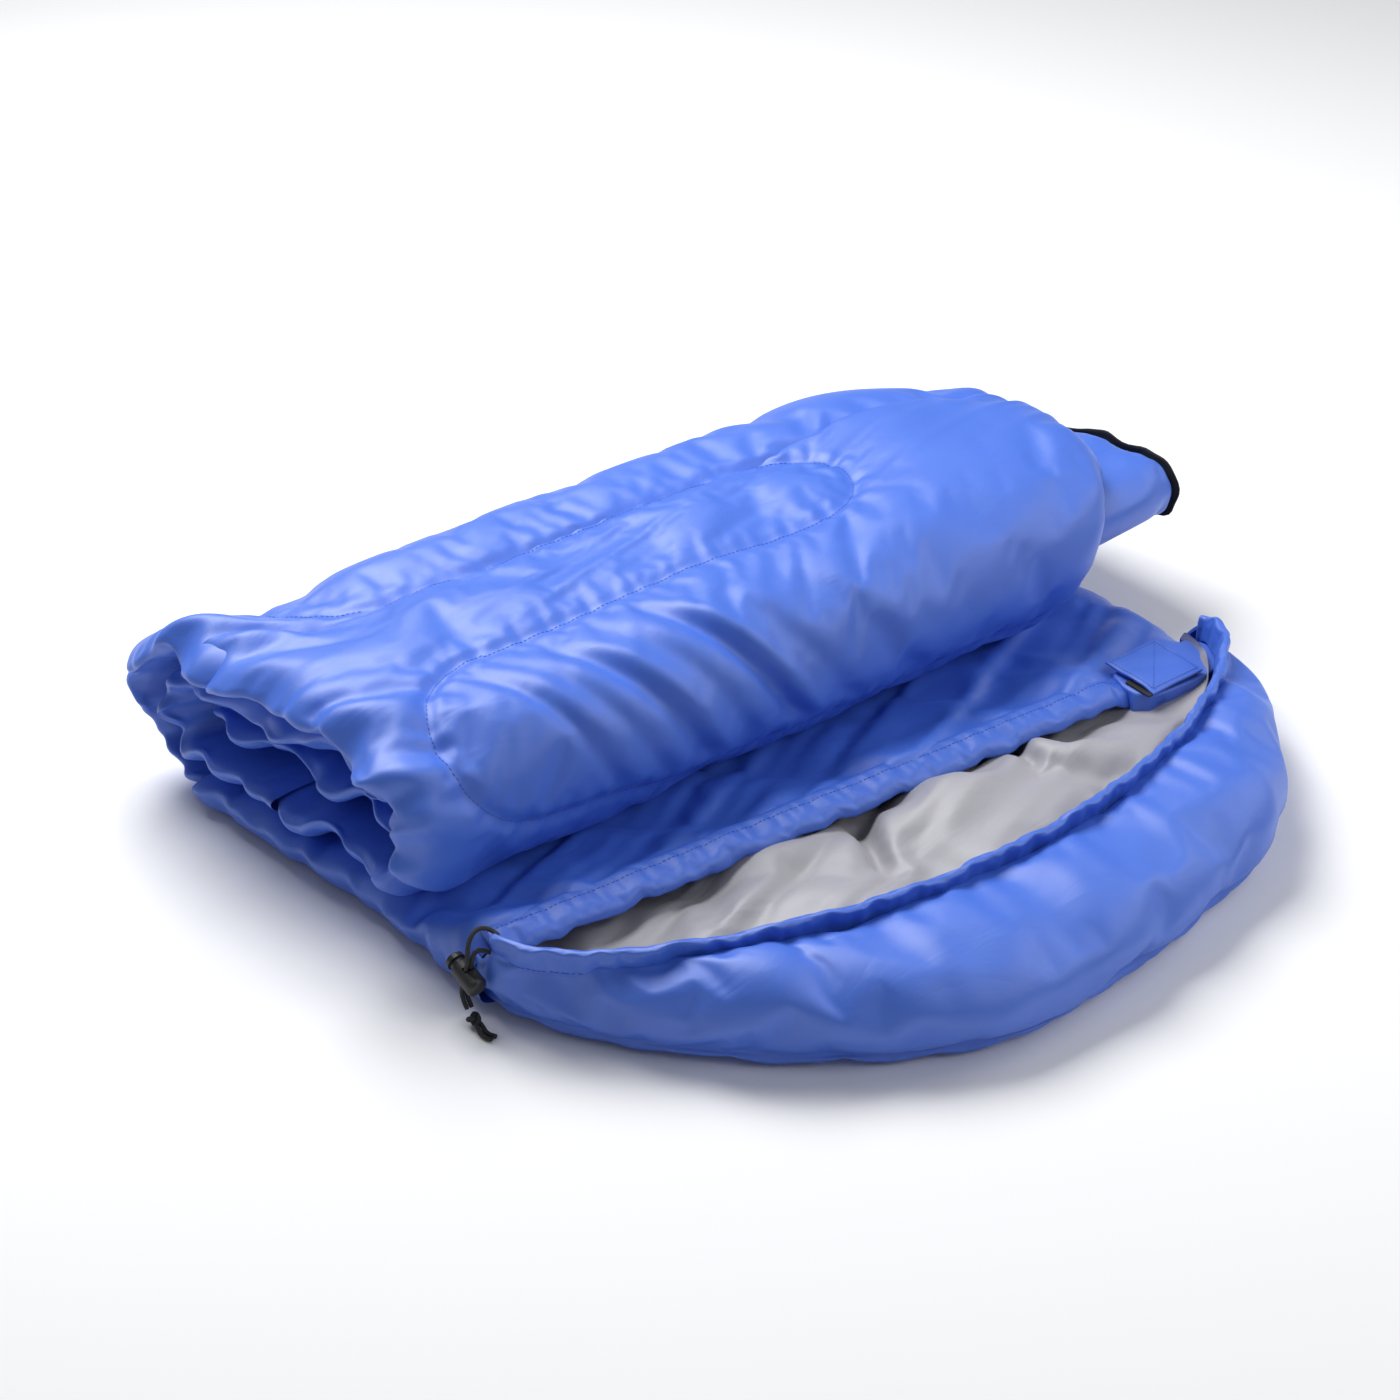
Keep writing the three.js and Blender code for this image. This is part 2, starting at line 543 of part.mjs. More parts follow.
const capFront = barrelRear - PLUNGER_TRAVEL - 0.4;
const pistonEnd = 6;
const plungerProfile = [
  [0, capFront - 5],
  [5.6, capFront - 5],
  [7.4, capFront - 3.6],
  [7.6, capFront],
  [LOCK_BORE - 0.35, capFront],
  [LOCK_BORE - 0.35, pistonEnd],
  [0, pistonEnd],
];
const cordClear = CORD_RADIUS + 0.3;
const plunger = solid(lathe(plungerProfile, 28)).subtract(solid(across(-cordClear - PLUNGER_TRAVEL, cordClear)));
add('cord_lock_plunger', inLock(geometryOf(plunger)), blackPlastic);

class Helix extends THREE.Curve {
  getPoint(t, target = new THREE.Vector3()) {
    const angle = t * 4 * 2 * Math.PI;
    return target.set(3.9 * Math.cos(angle), pistonEnd + 0.9 + t * (boreEnd - pistonEnd - 1.8), 3.9 * Math.sin(angle));
  }
}
const spring = new THREE.ExtrudeGeometry(
  shapeOf(Array.from({ length: 6 }, (_, i) => [0.4 * Math.cos((i * Math.PI) / 3), 0.4 * Math.sin((i * Math.PI) / 3)])),
  { steps: 48, bevelEnabled: false, extrudePath: new Helix() },
);
add('cord_lock_spring', inLock(spring), springSteel);

// The visible cord leaves the hem's end, arches over and drops through the lock to the knot.
const point = (x, y, z) => new THREE.Vector3(x, y, z);
const exitY = 0.5;
const cordRoute = [
  point(-356, exitY, 75),
  point(-356.2, 4, 75.2),
  point(-357.6, 7.8, 76.2),
  point(-360.8, 10.8, 77.4),
  point(-365.2, 12, 78),
  point(-369.8, 11.6, 77),
  point(-373.8, 10.4, 74),
  point(-376.8, 9, 69.4),
  point(-378.4, 7.8, 63.6),
  atLock(-STRAND - 0.05, -16),
  atLock(-STRAND, -12),
  atLock(-STRAND, -4),
  atLock(-STRAND, 4),
  atLock(-STRAND, 12),
  atLock(-STRAND, 16.5),
  point(-379, 16.4, 21.4),
  point(-379, 14, 16.4),
  point(-379, 10.6, 12.4),
];
const returnRoute = [
  point(-355.4, 4, 57.5),
  point(-358, 4.2, 58),
  point(-361.6, 5, 59.8),
  point(-365, 6.2, 62),
  point(-368.6, 7.2, 63.4),
  point(-372, 7.4, 62.8),
  point(-374.3, 7.2, 60.4),
  atLock(STRAND, -15.5),
  atLock(STRAND, -11.5),
  atLock(STRAND, -4),
  atLock(STRAND, 4),
  atLock(STRAND, 12),
  atLock(STRAND, 16.5),
  point(-375, 16.4, 21.4),
  point(-375, 14, 16.4),
  point(-375, 10.6, 12.4),
];
add('drawcord_free', tube(new THREE.CatmullRomCurve3(cordRoute), 60), blackCord);
add('drawcord_return', tube(new THREE.CatmullRomCurve3(returnRoute), 48), blackCord);

const knot = new THREE.SphereGeometry(1, 20, 14).scale(6.4, 7, 5.4).translate(-377, 4, 5.7);
const tail = new THREE.CapsuleGeometry(2.6, 20, 4, 12).scale(1.35, 1, 0.8).translate(-378, -10, 2.5);
add('drawcord_knot', geometryOf(solid(knot).add(solid(tail))), blackCord);

// ---------------------------------------------------------------- centre the bag on its own footprint
const CORD_PIECES = /^(drawcord_(free|return|knot)|cord_lock_)/;
const extent = new THREE.Box3();
for (const mesh of bag.children) if (!CORD_PIECES.test(mesh.name)) extent.expandByObject(mesh);
const middle = extent.getCenter(new THREE.Vector3());
bag.position.set(-middle.x, -middle.y, -extent.min.z);

export default bag;
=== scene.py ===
# %% [markdown]
# # A quilted sleeping bag, closed and rolled up towards its mouth
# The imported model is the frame: it says where every piece of the bag is, and what moves.
# Everything here is in metres in that frame, with +X across the bag to its zip, +Y from the hood
# to the roll, and +Z up. This file only makes the looks, so it starts by loading the frame.

# %% Load the frame
import json
import math

import bmesh
import bpy
import numpy as np
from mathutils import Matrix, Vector
from mathutils.bvhtree import BVHTree


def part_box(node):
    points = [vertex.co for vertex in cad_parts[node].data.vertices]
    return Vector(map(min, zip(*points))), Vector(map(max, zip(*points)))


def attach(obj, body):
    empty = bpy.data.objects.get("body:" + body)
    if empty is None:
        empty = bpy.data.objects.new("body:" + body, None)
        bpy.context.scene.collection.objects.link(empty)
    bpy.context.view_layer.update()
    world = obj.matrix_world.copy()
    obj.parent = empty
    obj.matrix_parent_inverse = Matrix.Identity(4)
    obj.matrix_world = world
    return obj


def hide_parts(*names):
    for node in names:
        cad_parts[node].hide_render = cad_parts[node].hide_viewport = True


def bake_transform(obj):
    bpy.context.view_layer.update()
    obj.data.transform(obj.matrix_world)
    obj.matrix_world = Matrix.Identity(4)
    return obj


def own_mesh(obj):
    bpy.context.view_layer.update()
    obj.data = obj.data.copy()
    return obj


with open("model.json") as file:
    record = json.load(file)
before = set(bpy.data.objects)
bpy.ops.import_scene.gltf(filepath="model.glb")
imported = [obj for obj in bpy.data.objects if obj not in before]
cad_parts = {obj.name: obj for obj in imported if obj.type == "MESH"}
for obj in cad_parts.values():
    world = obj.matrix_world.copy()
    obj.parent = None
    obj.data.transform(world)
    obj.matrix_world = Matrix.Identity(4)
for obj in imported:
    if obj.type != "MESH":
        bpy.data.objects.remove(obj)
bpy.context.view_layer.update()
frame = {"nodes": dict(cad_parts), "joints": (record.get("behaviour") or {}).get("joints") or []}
joints = {joint["name"]: joint for joint in frame["joints"]}

# %% [markdown]
# A pattern cutter works in millimetres from one reference line. Here it is the middle of the neck,
# where hood and bag meet. `place` turns such a point into the frame's metres, and arrays of points too.

# %% Driving dimensions, in millimetres from the middle of the neck
MM = 0.001
HEM_LOW, HEM_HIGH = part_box("mouth_hem")
NECK = np.array([(HEM_LOW.x + HEM_HIGH.x) / 2, joints["hood_lift"]["pos_m"][1] + 55 * MM, 0.0])


def place(points):
    """Points in millimetres from the middle of the neck, as metres in the frame."""
    return np.asarray(points, float) * MM + NECK


HALF_BAG = 17.2  # mid plane of the closed bag to its outside
PITCH = 37.5  # one turn of the roll to the next
REAR_Y, FRONT_Y = 360.0, 140.0  # centres of the roll's turns
TOP_Z, UNDER_Z, INNER_Z, CORE_Z = [HALF_BAG + PITCH * turn for turn in (4, 1, 3, 2)]
REAR_R = (TOP_Z - HALF_BAG) / 2
CORD_D = 3.5
print("neck", NECK, "roll top", TOP_Z + HALF_BAG)

# %% [markdown]
# The camera comes first, because how far a cord may spread depends on what it sees. It stands in
# front of the bag and to the left of it, a long way off with a long lens, so that the sides stay parallel.

# %% Camera
AZIMUTH, ELEVATION, DISTANCE = math.radians(-38), math.radians(33), 2.408
look_at = Vector(place([-48, 161, 70]))
away = Vector(
    (
        math.sin(AZIMUTH) * math.cos(ELEVATION),
        -math.cos(AZIMUTH) * math.cos(ELEVATION),
        math.sin(ELEVATION),
    )
)
bpy.ops.object.camera_add(location=look_at + away * DISTANCE)
camera = bpy.context.object
camera.rotation_euler = away.to_track_quat("Z", "Y").to_euler()
camera.data.lens = 77.1
camera.data.sensor_width = 36
bpy.context.scene.camera = camera


# %% [markdown]
# A product studio: a pale floor that runs out of sight, a big soft light above and behind the bag
# that draws long highlights over the satin, and a weaker one from the camera's side to open the shadows.

# %% Floor and lights
def area_light(name, location, aim, size, power):
    bpy.ops.object.light_add(type="AREA", location=location)
    light = bpy.context.object
    light.name = name
    light.data.size = size
    light.data.energy = power
    light.rotation_euler = (Vector(location) - Vector(aim)).to_track_quat("Z", "Y").to_euler()


bpy.ops.mesh.primitive_plane_add(size=14, location=(0, 0, -0.0005))
floor = bpy.context.object
floor.name = "studio_floor"
floor_paint = bpy.data.materials.new("studio_floor")
floor_paint.use_nodes = True
floor_shader = floor_paint.node_tree.nodes["Principled BSDF"]
floor_shader.inputs["Base Color"].default_value = (0.86, 0.86, 0.87, 1)
floor_shader.inputs["Roughness"].default_value = 0.9
floor.data.materials.append(floor_paint)

world = bpy.data.worlds.new("studio")
bpy.context.scene.world = world
world.use_nodes = True
sky = world.node_tree.nodes["Background"]
sky.inputs["Color"].default_value = (0.93, 0.95, 1, 1)
sky.inputs["Strength"].default_value = 0.2
bpy.context.scene.view_settings.view_transform = "Standard"
area_light("soft_top", (-0.10, 1.25, 1.95), (-0.05, 0.1, 0.12), 1.4, 66)
area_light("soft_side", (1.9, -0.7, 1.5), (0, -0.1, 0.05), 1.3, 15)
area_light("soft_front", (0.9, -2.2, 1.9), (0, -0.1, 0.05), 1.4, 18)
print("studio with a floor and three soft lights")


# %% [markdown]
# ## Finishes
# The weave is far too fine to see from across a room, but it breaks up the highlights of satin close to.
# One node group makes it for every cloth: two crossed sets of fine ridges along the cloth's own
# directions, which each piece keeps in a UV map in metres. The same group mottles the colour a little.

# %% The weave group
def new_group(name, sockets_in, sockets_out):
    group = bpy.data.node_groups.new(name, "ShaderNodeTree")
    for socket_name, socket_type, value in sockets_in:
        socket = group.interface.new_socket(socket_name, in_out="INPUT", socket_type=socket_type)
        socket.default_value = value
    for socket_name, socket_type in sockets_out:
        group.interface.new_socket(socket_name, in_out="OUTPUT", socket_type=socket_type)
    return group, group.nodes.new("NodeGroupInput"), group.nodes.new("NodeGroupOutput")


def node(tree, kind, values=None, **settings):
    made = tree.nodes.new(kind)
    for key, value in settings.items():
        setattr(made, key, value)
    for key, value in (values or {}).items():
        made.inputs[key].default_value = value
    return made


def math_node(tree, operation, first, second=None):
    made = node(tree, "ShaderNodeMath", operation=operation)
    for socket, value in zip(made.inputs, (first, second)):
        if value is None:
            continue
        if isinstance(value, (int, float)):
            socket.default_value = value
        else:
            tree.links.new(value, socket)
    return made.outputs[0]


def between_colours(tree, factor, dark, light):
    """A colour between the dark and the light one, by a factor that changes over the surface."""
    colour = node(tree, "ShaderNodeMix", data_type="RGBA")
    colour.inputs["A"].default_value = (*dark, 1)
    colour.inputs["B"].default_value = (*light, 1)
    tree.links.new(factor, colour.inputs["Factor"])
    return colour.outputs["Result"]


weave, weave_in, weave_out = new_group(
    "cloth_weave",
    [("Threads per metre", "NodeSocketFloat", 2600.0), ("Mottle", "NodeSocketFloat", 0.1)],
    [("Height", "NodeSocketFloat"), ("Shade", "NodeSocketFloat"), ("Creases", "NodeSocketFloat")],
)
weave_uv = node(weave, "ShaderNodeUVMap", uv_map="cloth")
weave_axes = node(weave, "ShaderNodeSeparateXYZ")
weave.links.new(weave_uv.outputs[0], weave_axes.inputs[0])
ridges = []
for axis in (0, 1):
    turns = math_node(weave, "MULTIPLY", weave_axes.outputs[axis], weave_in.outputs["Threads per metre"])
    ridges.append(math_node(weave, "SINE", math_node(weave, "MULTIPLY", turns, 2 * math.pi)))
crossed = math_node(weave, "MULTIPLY", ridges[0], ridges[1])
weave.links.new(math_node(weave, "MULTIPLY_ADD", crossed, 0.5), weave_out.inputs["Height"])
mottle_coordinates = node(weave, "ShaderNodeTexCoord")
mottle_noise = node(weave, "ShaderNodeTexNoise", {"Scale": 9.0, "Detail": 4.0, "Roughness": 0.6})
weave.links.new(mottle_coordinates.outputs["Object"], mottle_noise.inputs["Vector"])
centred = math_node(weave, "SUBTRACT", mottle_noise.outputs["Fac"], 0.5)
shade = math_node(weave, "MULTIPLY", centred, weave_in.outputs["Mottle"])
weave.links.new(math_node(weave, "ADD", shade, 0.5), weave_out.inputs["Shade"])
stretch = node(weave, "ShaderNodeMapping", {"Rotation": (0.2, 0.3, 0.5), "Scale": (1.0, 2.6, 1.6)})
crease_noise = node(
    weave, "ShaderNodeTexNoise", {"Scale": 9.0, "Detail": 4.0, "Roughness": 0.5, "Distortion": 0.8}
)
weave.links.new(mottle_coordinates.outputs["Object"], stretch.inputs["Vector"])
weave.links.new(stretch.outputs["Vector"], crease_noise.inputs["Vector"])
folded = math_node(weave, "ABSOLUTE", math_node(weave, "SUBTRACT", crease_noise.outputs["Fac"], 0.5))
weave.links.new(math_node(weave, "MULTIPLY", folded, 2.0), weave_out.inputs["Creases"])
print("weave group", len(weave.nodes), "nodes")


# %% [markdown]
# Polyester satin is a smooth cloth: a dark, saturated body colour, and over it a broad pale sheen that
# runs along folds. A medium roughness gives the broad highlight, the sheen lifts the grazing edges, and a
# slow noise in the roughness keeps the highlights from looking like plastic.

# %% Cloth materials
def cloth_material(
    name, dark, light, roughness, sheen, threads=2600.0, bump=0.00012, mottle=0.5, gloss=0.0, crease=0.0
):
    material = bpy.data.materials.new(name)
    material.use_nodes = True
    tree = material.node_tree
    shader = tree.nodes["Principled BSDF"]
    shader.inputs["Coat Weight"].default_value = gloss
    shader.inputs["Coat Roughness"].default_value = 0.5
    shader.inputs["Coat IOR"].default_value = 1.6
    shader.inputs["Sheen Weight"].default_value = sheen
    shader.inputs["Sheen Roughness"].default_value = 0.35
    shader.inputs["Sheen Tint"].default_value = (*light, 1)
    made = node(tree, "ShaderNodeGroup", node_tree=weave)
    made.inputs["Threads per metre"].default_value = threads
    made.inputs["Mottle"].default_value = mottle
    tree.links.new(between_colours(tree, made.outputs["Shade"], dark, light), shader.inputs["Base Color"])
    spread = math_node(tree, "MULTIPLY", made.outputs["Shade"], 0.2)
    tree.links.new(math_node(tree, "ADD", spread, roughness - 0.1), shader.inputs["Roughness"])
    bumps = node(tree, "ShaderNodeBump", {"Strength": 0.35, "Distance": bump})
    tree.links.new(made.outputs["Height"], bumps.inputs["Height"])
    folds = node(tree, "ShaderNodeBump", {"Strength": 1.0, "Distance": crease})
    tree.links.new(made.outputs["Creases"], folds.inputs["Height"])
    tree.links.new(bumps.outputs[0], folds.inputs["Normal"])
    tree.links.new(folds.outputs[0], shader.inputs["Normal"])
    return material


blue_satin = cloth_material(
    "blue_satin", (0.040, 0.125, 0.60), (0.070, 0.19, 0.74), 0.43, 0.4, gloss=0.45, crease=0.0009
)
blue_hem = cloth_material(
    "blue_hem_cloth", (0.036, 0.115, 0.56), (0.060, 0.17, 0.68), 0.42, 0.4, gloss=0.4, crease=0.0010
)
grey_lining = cloth_material(
    "grey_lining", (0.30, 0.295, 0.315), (0.41, 0.40, 0.425), 0.45, 0.3, gloss=0.2, crease=0.0010
)
black_webbing = cloth_material(
    "black_tape", (0.008, 0.008, 0.009), (0.02, 0.02, 0.022), 0.8, 0.1, threads=900.0, bump=0.0004
)
blue_thread = cloth_material("blue_thread", (0.03, 0.09, 0.42), (0.05, 0.13, 0.52), 0.6, 0.1, threads=4000.0)
print("five cloths")


# %% [markdown]
# ## Cloth tools
# A panel of cloth is a grid: its rows follow the bag round the roll, and its columns go across.
# `panel` takes a grid primitive with that many rows and columns and lays its corners on the points
# given, which leaves it a true sheet of quads that simulation and subdivision both like.

# %% Panels from grids
def deselect():
    bpy.ops.object.select_all(action="DESELECT")


def select_only(*pieces):
    """Selects these pieces and nothing else, with the first one active."""
    deselect()
    for piece in pieces:
        piece.select_set(True)
    bpy.context.view_layer.objects.active = pieces[0]


def join_into(main, *others):
    select_only(main, *others)
    bpy.ops.object.join()


def panel(name, points, material, flip=False):
    """A sheet through a grid of points in millimetres, rows by columns."""
    points = np.asarray(points, float)
    if flip:
        points = points[:, ::-1]
    rows, columns = points.shape[:2]
    deselect()
    bpy.ops.mesh.primitive_grid_add(x_subdivisions=columns - 1, y_subdivisions=rows - 1, size=1)
    piece = bpy.context.object
    piece.name = name
    piece.data.vertices.foreach_set("co", place(points).reshape(-1))
    along = np.linalg.norm(np.diff(points, axis=0), axis=2).mean(1)
    across = np.linalg.norm(np.diff(points, axis=1), axis=2).mean(0)
    v = np.concatenate([[0], np.cumsum(along)]) * MM
    u = np.concatenate([[0], np.cumsum(across)]) * MM
    uv = np.stack(np.meshgrid(u, v), axis=2).reshape(-1, 2)
    layer = piece.data.uv_layers[0]
    layer.name = "cloth"
    corners = np.zeros(len(piece.data.loops), int)
    piece.data.loops.foreach_get("vertex_index", corners)
    layer.data.foreach_set("uv", uv[corners].reshape(-1))
    piece.data.materials.append(material)
    piece.data.update()
    bpy.ops.object.shade_smooth()
    print(name, "laid flat:", round(u[-1] / MM), "by", round(v[-1] / MM), "mm")
    return piece


def coordinates(piece):
    co = np.zeros(len(piece.data.vertices) * 3)
    piece.data.vertices.foreach_get("co", co)
    return co.reshape(-1, 3)


def set_coordinates(piece, co):
    piece.data.vertices.foreach_set("co", co.reshape(-1))
    piece.data.update()


def apply_now(piece, modifier):
    select_only(piece)
    bpy.ops.object.modifier_apply(modifier=modifier.name)


def apply_modifier(piece, kind, **settings):
    modifier = piece.modifiers.new(kind.lower(), kind)
    for key, value in settings.items():
        setattr(modifier, key, value)
    apply_now(piece, modifier)


# %% [markdown]
# Real puckers come from too much cloth between two lines of stitching. The simulation makes them the
# same way: the stitched lines are pinned, the cloth between them is told that its true size is a few
# hundredths more than it is laid at, and a little pressure from the filling blows it up. How far a point
# may move is capped, so that the bag keeps its size.

# %% Swelling a stitched panel
STRETCH_STIFFNESS = 12.0


def swell(piece, pinned, growth, pressure, cap, frames=16, bending=1.0):
    """Blows a panel up between its pinned points, which `pinned` marks. `cap` is in millimetres."""
    start = coordinates(piece)
    group = piece.vertex_groups.new(name="sewn")
    group.add([int(i) for i in np.flatnonzero(pinned)], 1.0, "REPLACE")
    modifier = piece.modifiers.new("swell", "CLOTH")
    cloth = modifier.settings
    cloth.quality = 6
    cloth.mass = 0.12
    cloth.air_damping = 3
    cloth.tension_stiffness = STRETCH_STIFFNESS
    cloth.compression_stiffness = STRETCH_STIFFNESS
    cloth.shear_stiffness = STRETCH_STIFFNESS * 0.4
    cloth.bending_stiffness = bending
    cloth.shrink_min = -growth
    cloth.shrink_max = -growth
    cloth.use_pressure = True
    cloth.uniform_pressure_force = pressure
    cloth.vertex_group_mass = group.name
    cloth.effector_weights.gravity = 0
    modifier.collision_settings.use_collision = False
    modifier.point_cache.frame_start = 1
    modifier.point_cache.frame_end = frames
    for step in range(1, frames + 1):
        bpy.context.scene.frame_set(step)
    apply_now(piece, modifier)
    bpy.context.scene.frame_set(1)
    moved = coordinates(piece) - start
    length = np.linalg.norm(moved, axis=1, keepdims=True)
    limit = cap * MM
    eased = limit * np.tanh(length / limit)
    set_coordinates(piece, start + moved * eased / np.maximum(length, 1e-9))
    piece.vertex_groups.clear()
    print(piece.name, len(start), "points, moved up to", round(float(length.max()) * 1000, 1), "mm")


def refine(piece):
    apply_modifier(piece, "SUBSURF", levels=1, render_levels=1)


def stuff(piece, pinned, fill, **swelling):
    """Swells a quilted panel and smooths it."""
    swell(piece, pinned, **swelling)
    refine(piece)


# %% [markdown]
# Folds and gathers are never even. `waves` adds a few sines whose lengths don't divide each other, so
# that a row of scallops never repeats, and it gives the same answer on every run.

# %% Uneven waves
def waves(t, length, seed=0):
    """Smooth uneven waves of about that length, mostly between -1 and 1."""
    t = np.asarray(t, float) * 2 * math.pi / length
    parts = [
        (1.0, 1.0, 1.3),
        (0.63, 0.7, 2.1),
        (1.57, 0.55, 4.2),
        (2.31, 0.28, 0.4),
    ]
    total = sum(size * np.sin(t * rate + phase + seed * (1.7 + rate)) for rate, size, phase in parts)
    return total / 1.9


def smooth(t):
    t = np.clip(t, 0, 1)
    return t * t * (3 - 2 * t)


# %% [markdown]
# A loft needs only a few lines of points. `spline` draws a smooth curve through them and
# lays out evenly spaced points along it, for one line or for a whole row of lines at once.

# %% Curves through a few points
def distances(line):
    """How far along the line each of its points is."""
    steps = np.linalg.norm(np.diff(line, axis=0), axis=1)
    return np.concatenate([[0], np.cumsum(steps)])


def points_at(wanted, walked, line):
    """The points at the wanted distances along a line whose own points are at the walked ones."""
    return np.stack([np.interp(wanted, walked, line[:, k]) for k in range(line.shape[1])], axis=1)


def spline(points, count, closed=False):
    """`count` evenly spaced points of a smooth curve through the points along the first axis."""
    points = np.asarray(points, float)
    if closed:
        before, after = points[-1:], points[:2]
    else:
        before, after = 2 * points[:1] - points[1:2], 2 * points[-1:] - points[-2:-1]
    extended = np.concatenate([before, points, after])
    fine = []
    for i in range(1, len(extended) - 2):
        p0, p1, p2, p3 = extended[i - 1:i + 3]
        for t in np.arange(0, 1, 1 / 12):
            fine.append(
                0.5 * (2 * p1 + (p2 - p0) * t + (2 * p0 - 5 * p1 + 4 * p2 - p3) * t**2
                       + (3 * p1 - p0 - 3 * p2 + p3) * t**3)
            )
    fine.append(extended[-2])
    fine = np.array(fine)
    steps = np.linalg.norm(np.diff(fine, axis=0), axis=-1)
    walked = steps.reshape(len(steps), -1).mean(1)
    walked = np.concatenate([[0], np.cumsum(walked)])
    wanted = np.linspace(0, walked[-1], count)
    flat = fine.reshape(len(fine), -1)
    return points_at(wanted, walked, flat).reshape((count,) + points.shape[1:])


def level_normals(line):
    """Level directions square to a line in plan, to the right of the way it goes."""
    tangent = np.gradient(line, axis=0)
    tangent /= np.linalg.norm(tangent, axis=1, keepdims=True)
    return np.stack([tangent[:, 1], -tangent[:, 0]], axis=1)


def mix(a, b, t):
    return a + (b - a) * t


# %% [markdown]
# ## The drawcord
# The cords come before the cloth. One end of the drawcord leaves the hem at the left corner, arches
# over and goes down through the cord lock. The other end comes out below the hem and goes through the
# lock beside it, and both end in one knot. These are the same points as in the solid model.

# %% Where the drawcord runs
LOCK_CENTRE = np.array([-377.0, 12.0, 42.0])
LOCK_TILT = math.radians(17)
CORD_WAY = np.array([0, math.sin(LOCK_TILT), -math.cos(LOCK_TILT)])
STRAND = 1.95  # how far each strand in the lock is from its middle


def at_lock(x, along):
    return tuple(LOCK_CENTRE + CORD_WAY * along + np.array([x, 0, 0]))


FREE_ROUTE = [
    (-356, 0.5, 75), (-356.2, 4, 75.2), (-357.6, 7.8, 76.2), (-360.8, 10.8, 77.4), (-365.2, 12, 78),
    (-369.8, 11.6, 77), (-373.8, 10.4, 74), (-376.8, 9, 69.4), (-378.4, 7.8, 63.6),
    at_lock(-STRAND - 0.05, -16), at_lock(-STRAND, -12), at_lock(-STRAND, -4), at_lock(-STRAND, 4),
    at_lock(-STRAND, 12), at_lock(-STRAND, 16.5), (-379, 16.4, 21.4), (-379, 14, 16.4), (-379, 10.6, 12.4),
]
RETURN_ROUTE = [
    (-355.4, 4, 57.5), (-358, 4.2, 58), (-361.6, 5, 59.8), (-365, 6.2, 62), (-368.6, 7.2, 63.4),
    (-372, 7.4, 62.8), (-374.3, 7.2, 60.4), at_lock(STRAND, -15.5), at_lock(STRAND, -11.5),
    at_lock(STRAND, -4), at_lock(STRAND, 4), at_lock(STRAND, 12), at_lock(STRAND, 16.5),
    (-375, 16.4, 21.4), (-375, 14, 16.4), (-375, 10.6, 12.4),
]


# %% [markdown]
# A braided cord shows crossed diagonal strands. A tube of short rings is swept along the route, and its
# UV map counts millimetres round and along it, so that the braid of the material follows every bend.

# %% Sweeping a cord
def tube(name, route, radius, sides, step, material, ripple=0.0):
    """A closed tube round the route, in millimetres. Its radius can ripple a little, as a braid does."""
    route = np.asarray(route, float)
    rough = spline(route, 200)
    length = np.linalg.norm(np.diff(rough, axis=0), axis=1).sum()
    rings = max(int(round(length / step)), 6) + 1
    middle = spline(route, rings)
    tangent = np.gradient(middle, axis=0)
    tangent /= np.linalg.norm(tangent, axis=1, keepdims=True)
    side = np.cross(tangent[0], [0.31, 0.2, 0.93])
    frames = []
    for direction in tangent:
        side = side - direction * np.dot(side, direction)
        side = side / np.linalg.norm(side)
        frames.append((side, np.cross(direction, side)))
    angles = np.linspace(0, 2 * math.pi, sides + 1)
    grid = np.zeros((rings, sides + 1, 3))
    for i, (first, second) in enumerate(frames):
        swell_here = radius * (1 + ripple * np.cos(3 * angles + i * 0.9) * np.cos(3 * angles - i * 0.9))
        taper = 0.75 if i in (0, rings - 1) else 1.0
        grid[i] = middle[i] + (np.outer(np.cos(angles), first) + np.outer(np.sin(angles), second)) * (
            swell_here * taper
        )[:, None]
    piece = panel(name, grid, material)
    close_tube(piece)
    return piece, middle, length


def select_all_in_edit(piece):
    select_only(piece)
    bpy.ops.object.mode_set(mode="EDIT")
    bpy.ops.mesh.select_all(action="SELECT")


def close_tube(piece, caps=True):
    """Joins the first and last columns of a panel, fills its open ends and points its faces out."""
    select_all_in_edit(piece)
    bpy.ops.mesh.remove_doubles(threshold=1e-6)
    if caps:
        bpy.ops.mesh.select_all(action="DESELECT")
        bpy.ops.mesh.select_non_manifold(extend=False)
        bpy.ops.mesh.edge_face_add()
        bpy.ops.mesh.select_all(action="SELECT")
    bpy.ops.mesh.normals_make_consistent(inside=False)
    bpy.ops.object.mode_set(mode="OBJECT")


# %% [markdown]
# Black polyester cord has a braided skin. The braid is two sets of diagonal ridges in the tube's own
# UV map; moulded plastic is smooth with a fine frost; stamped zip metal is brushed and a little worn.

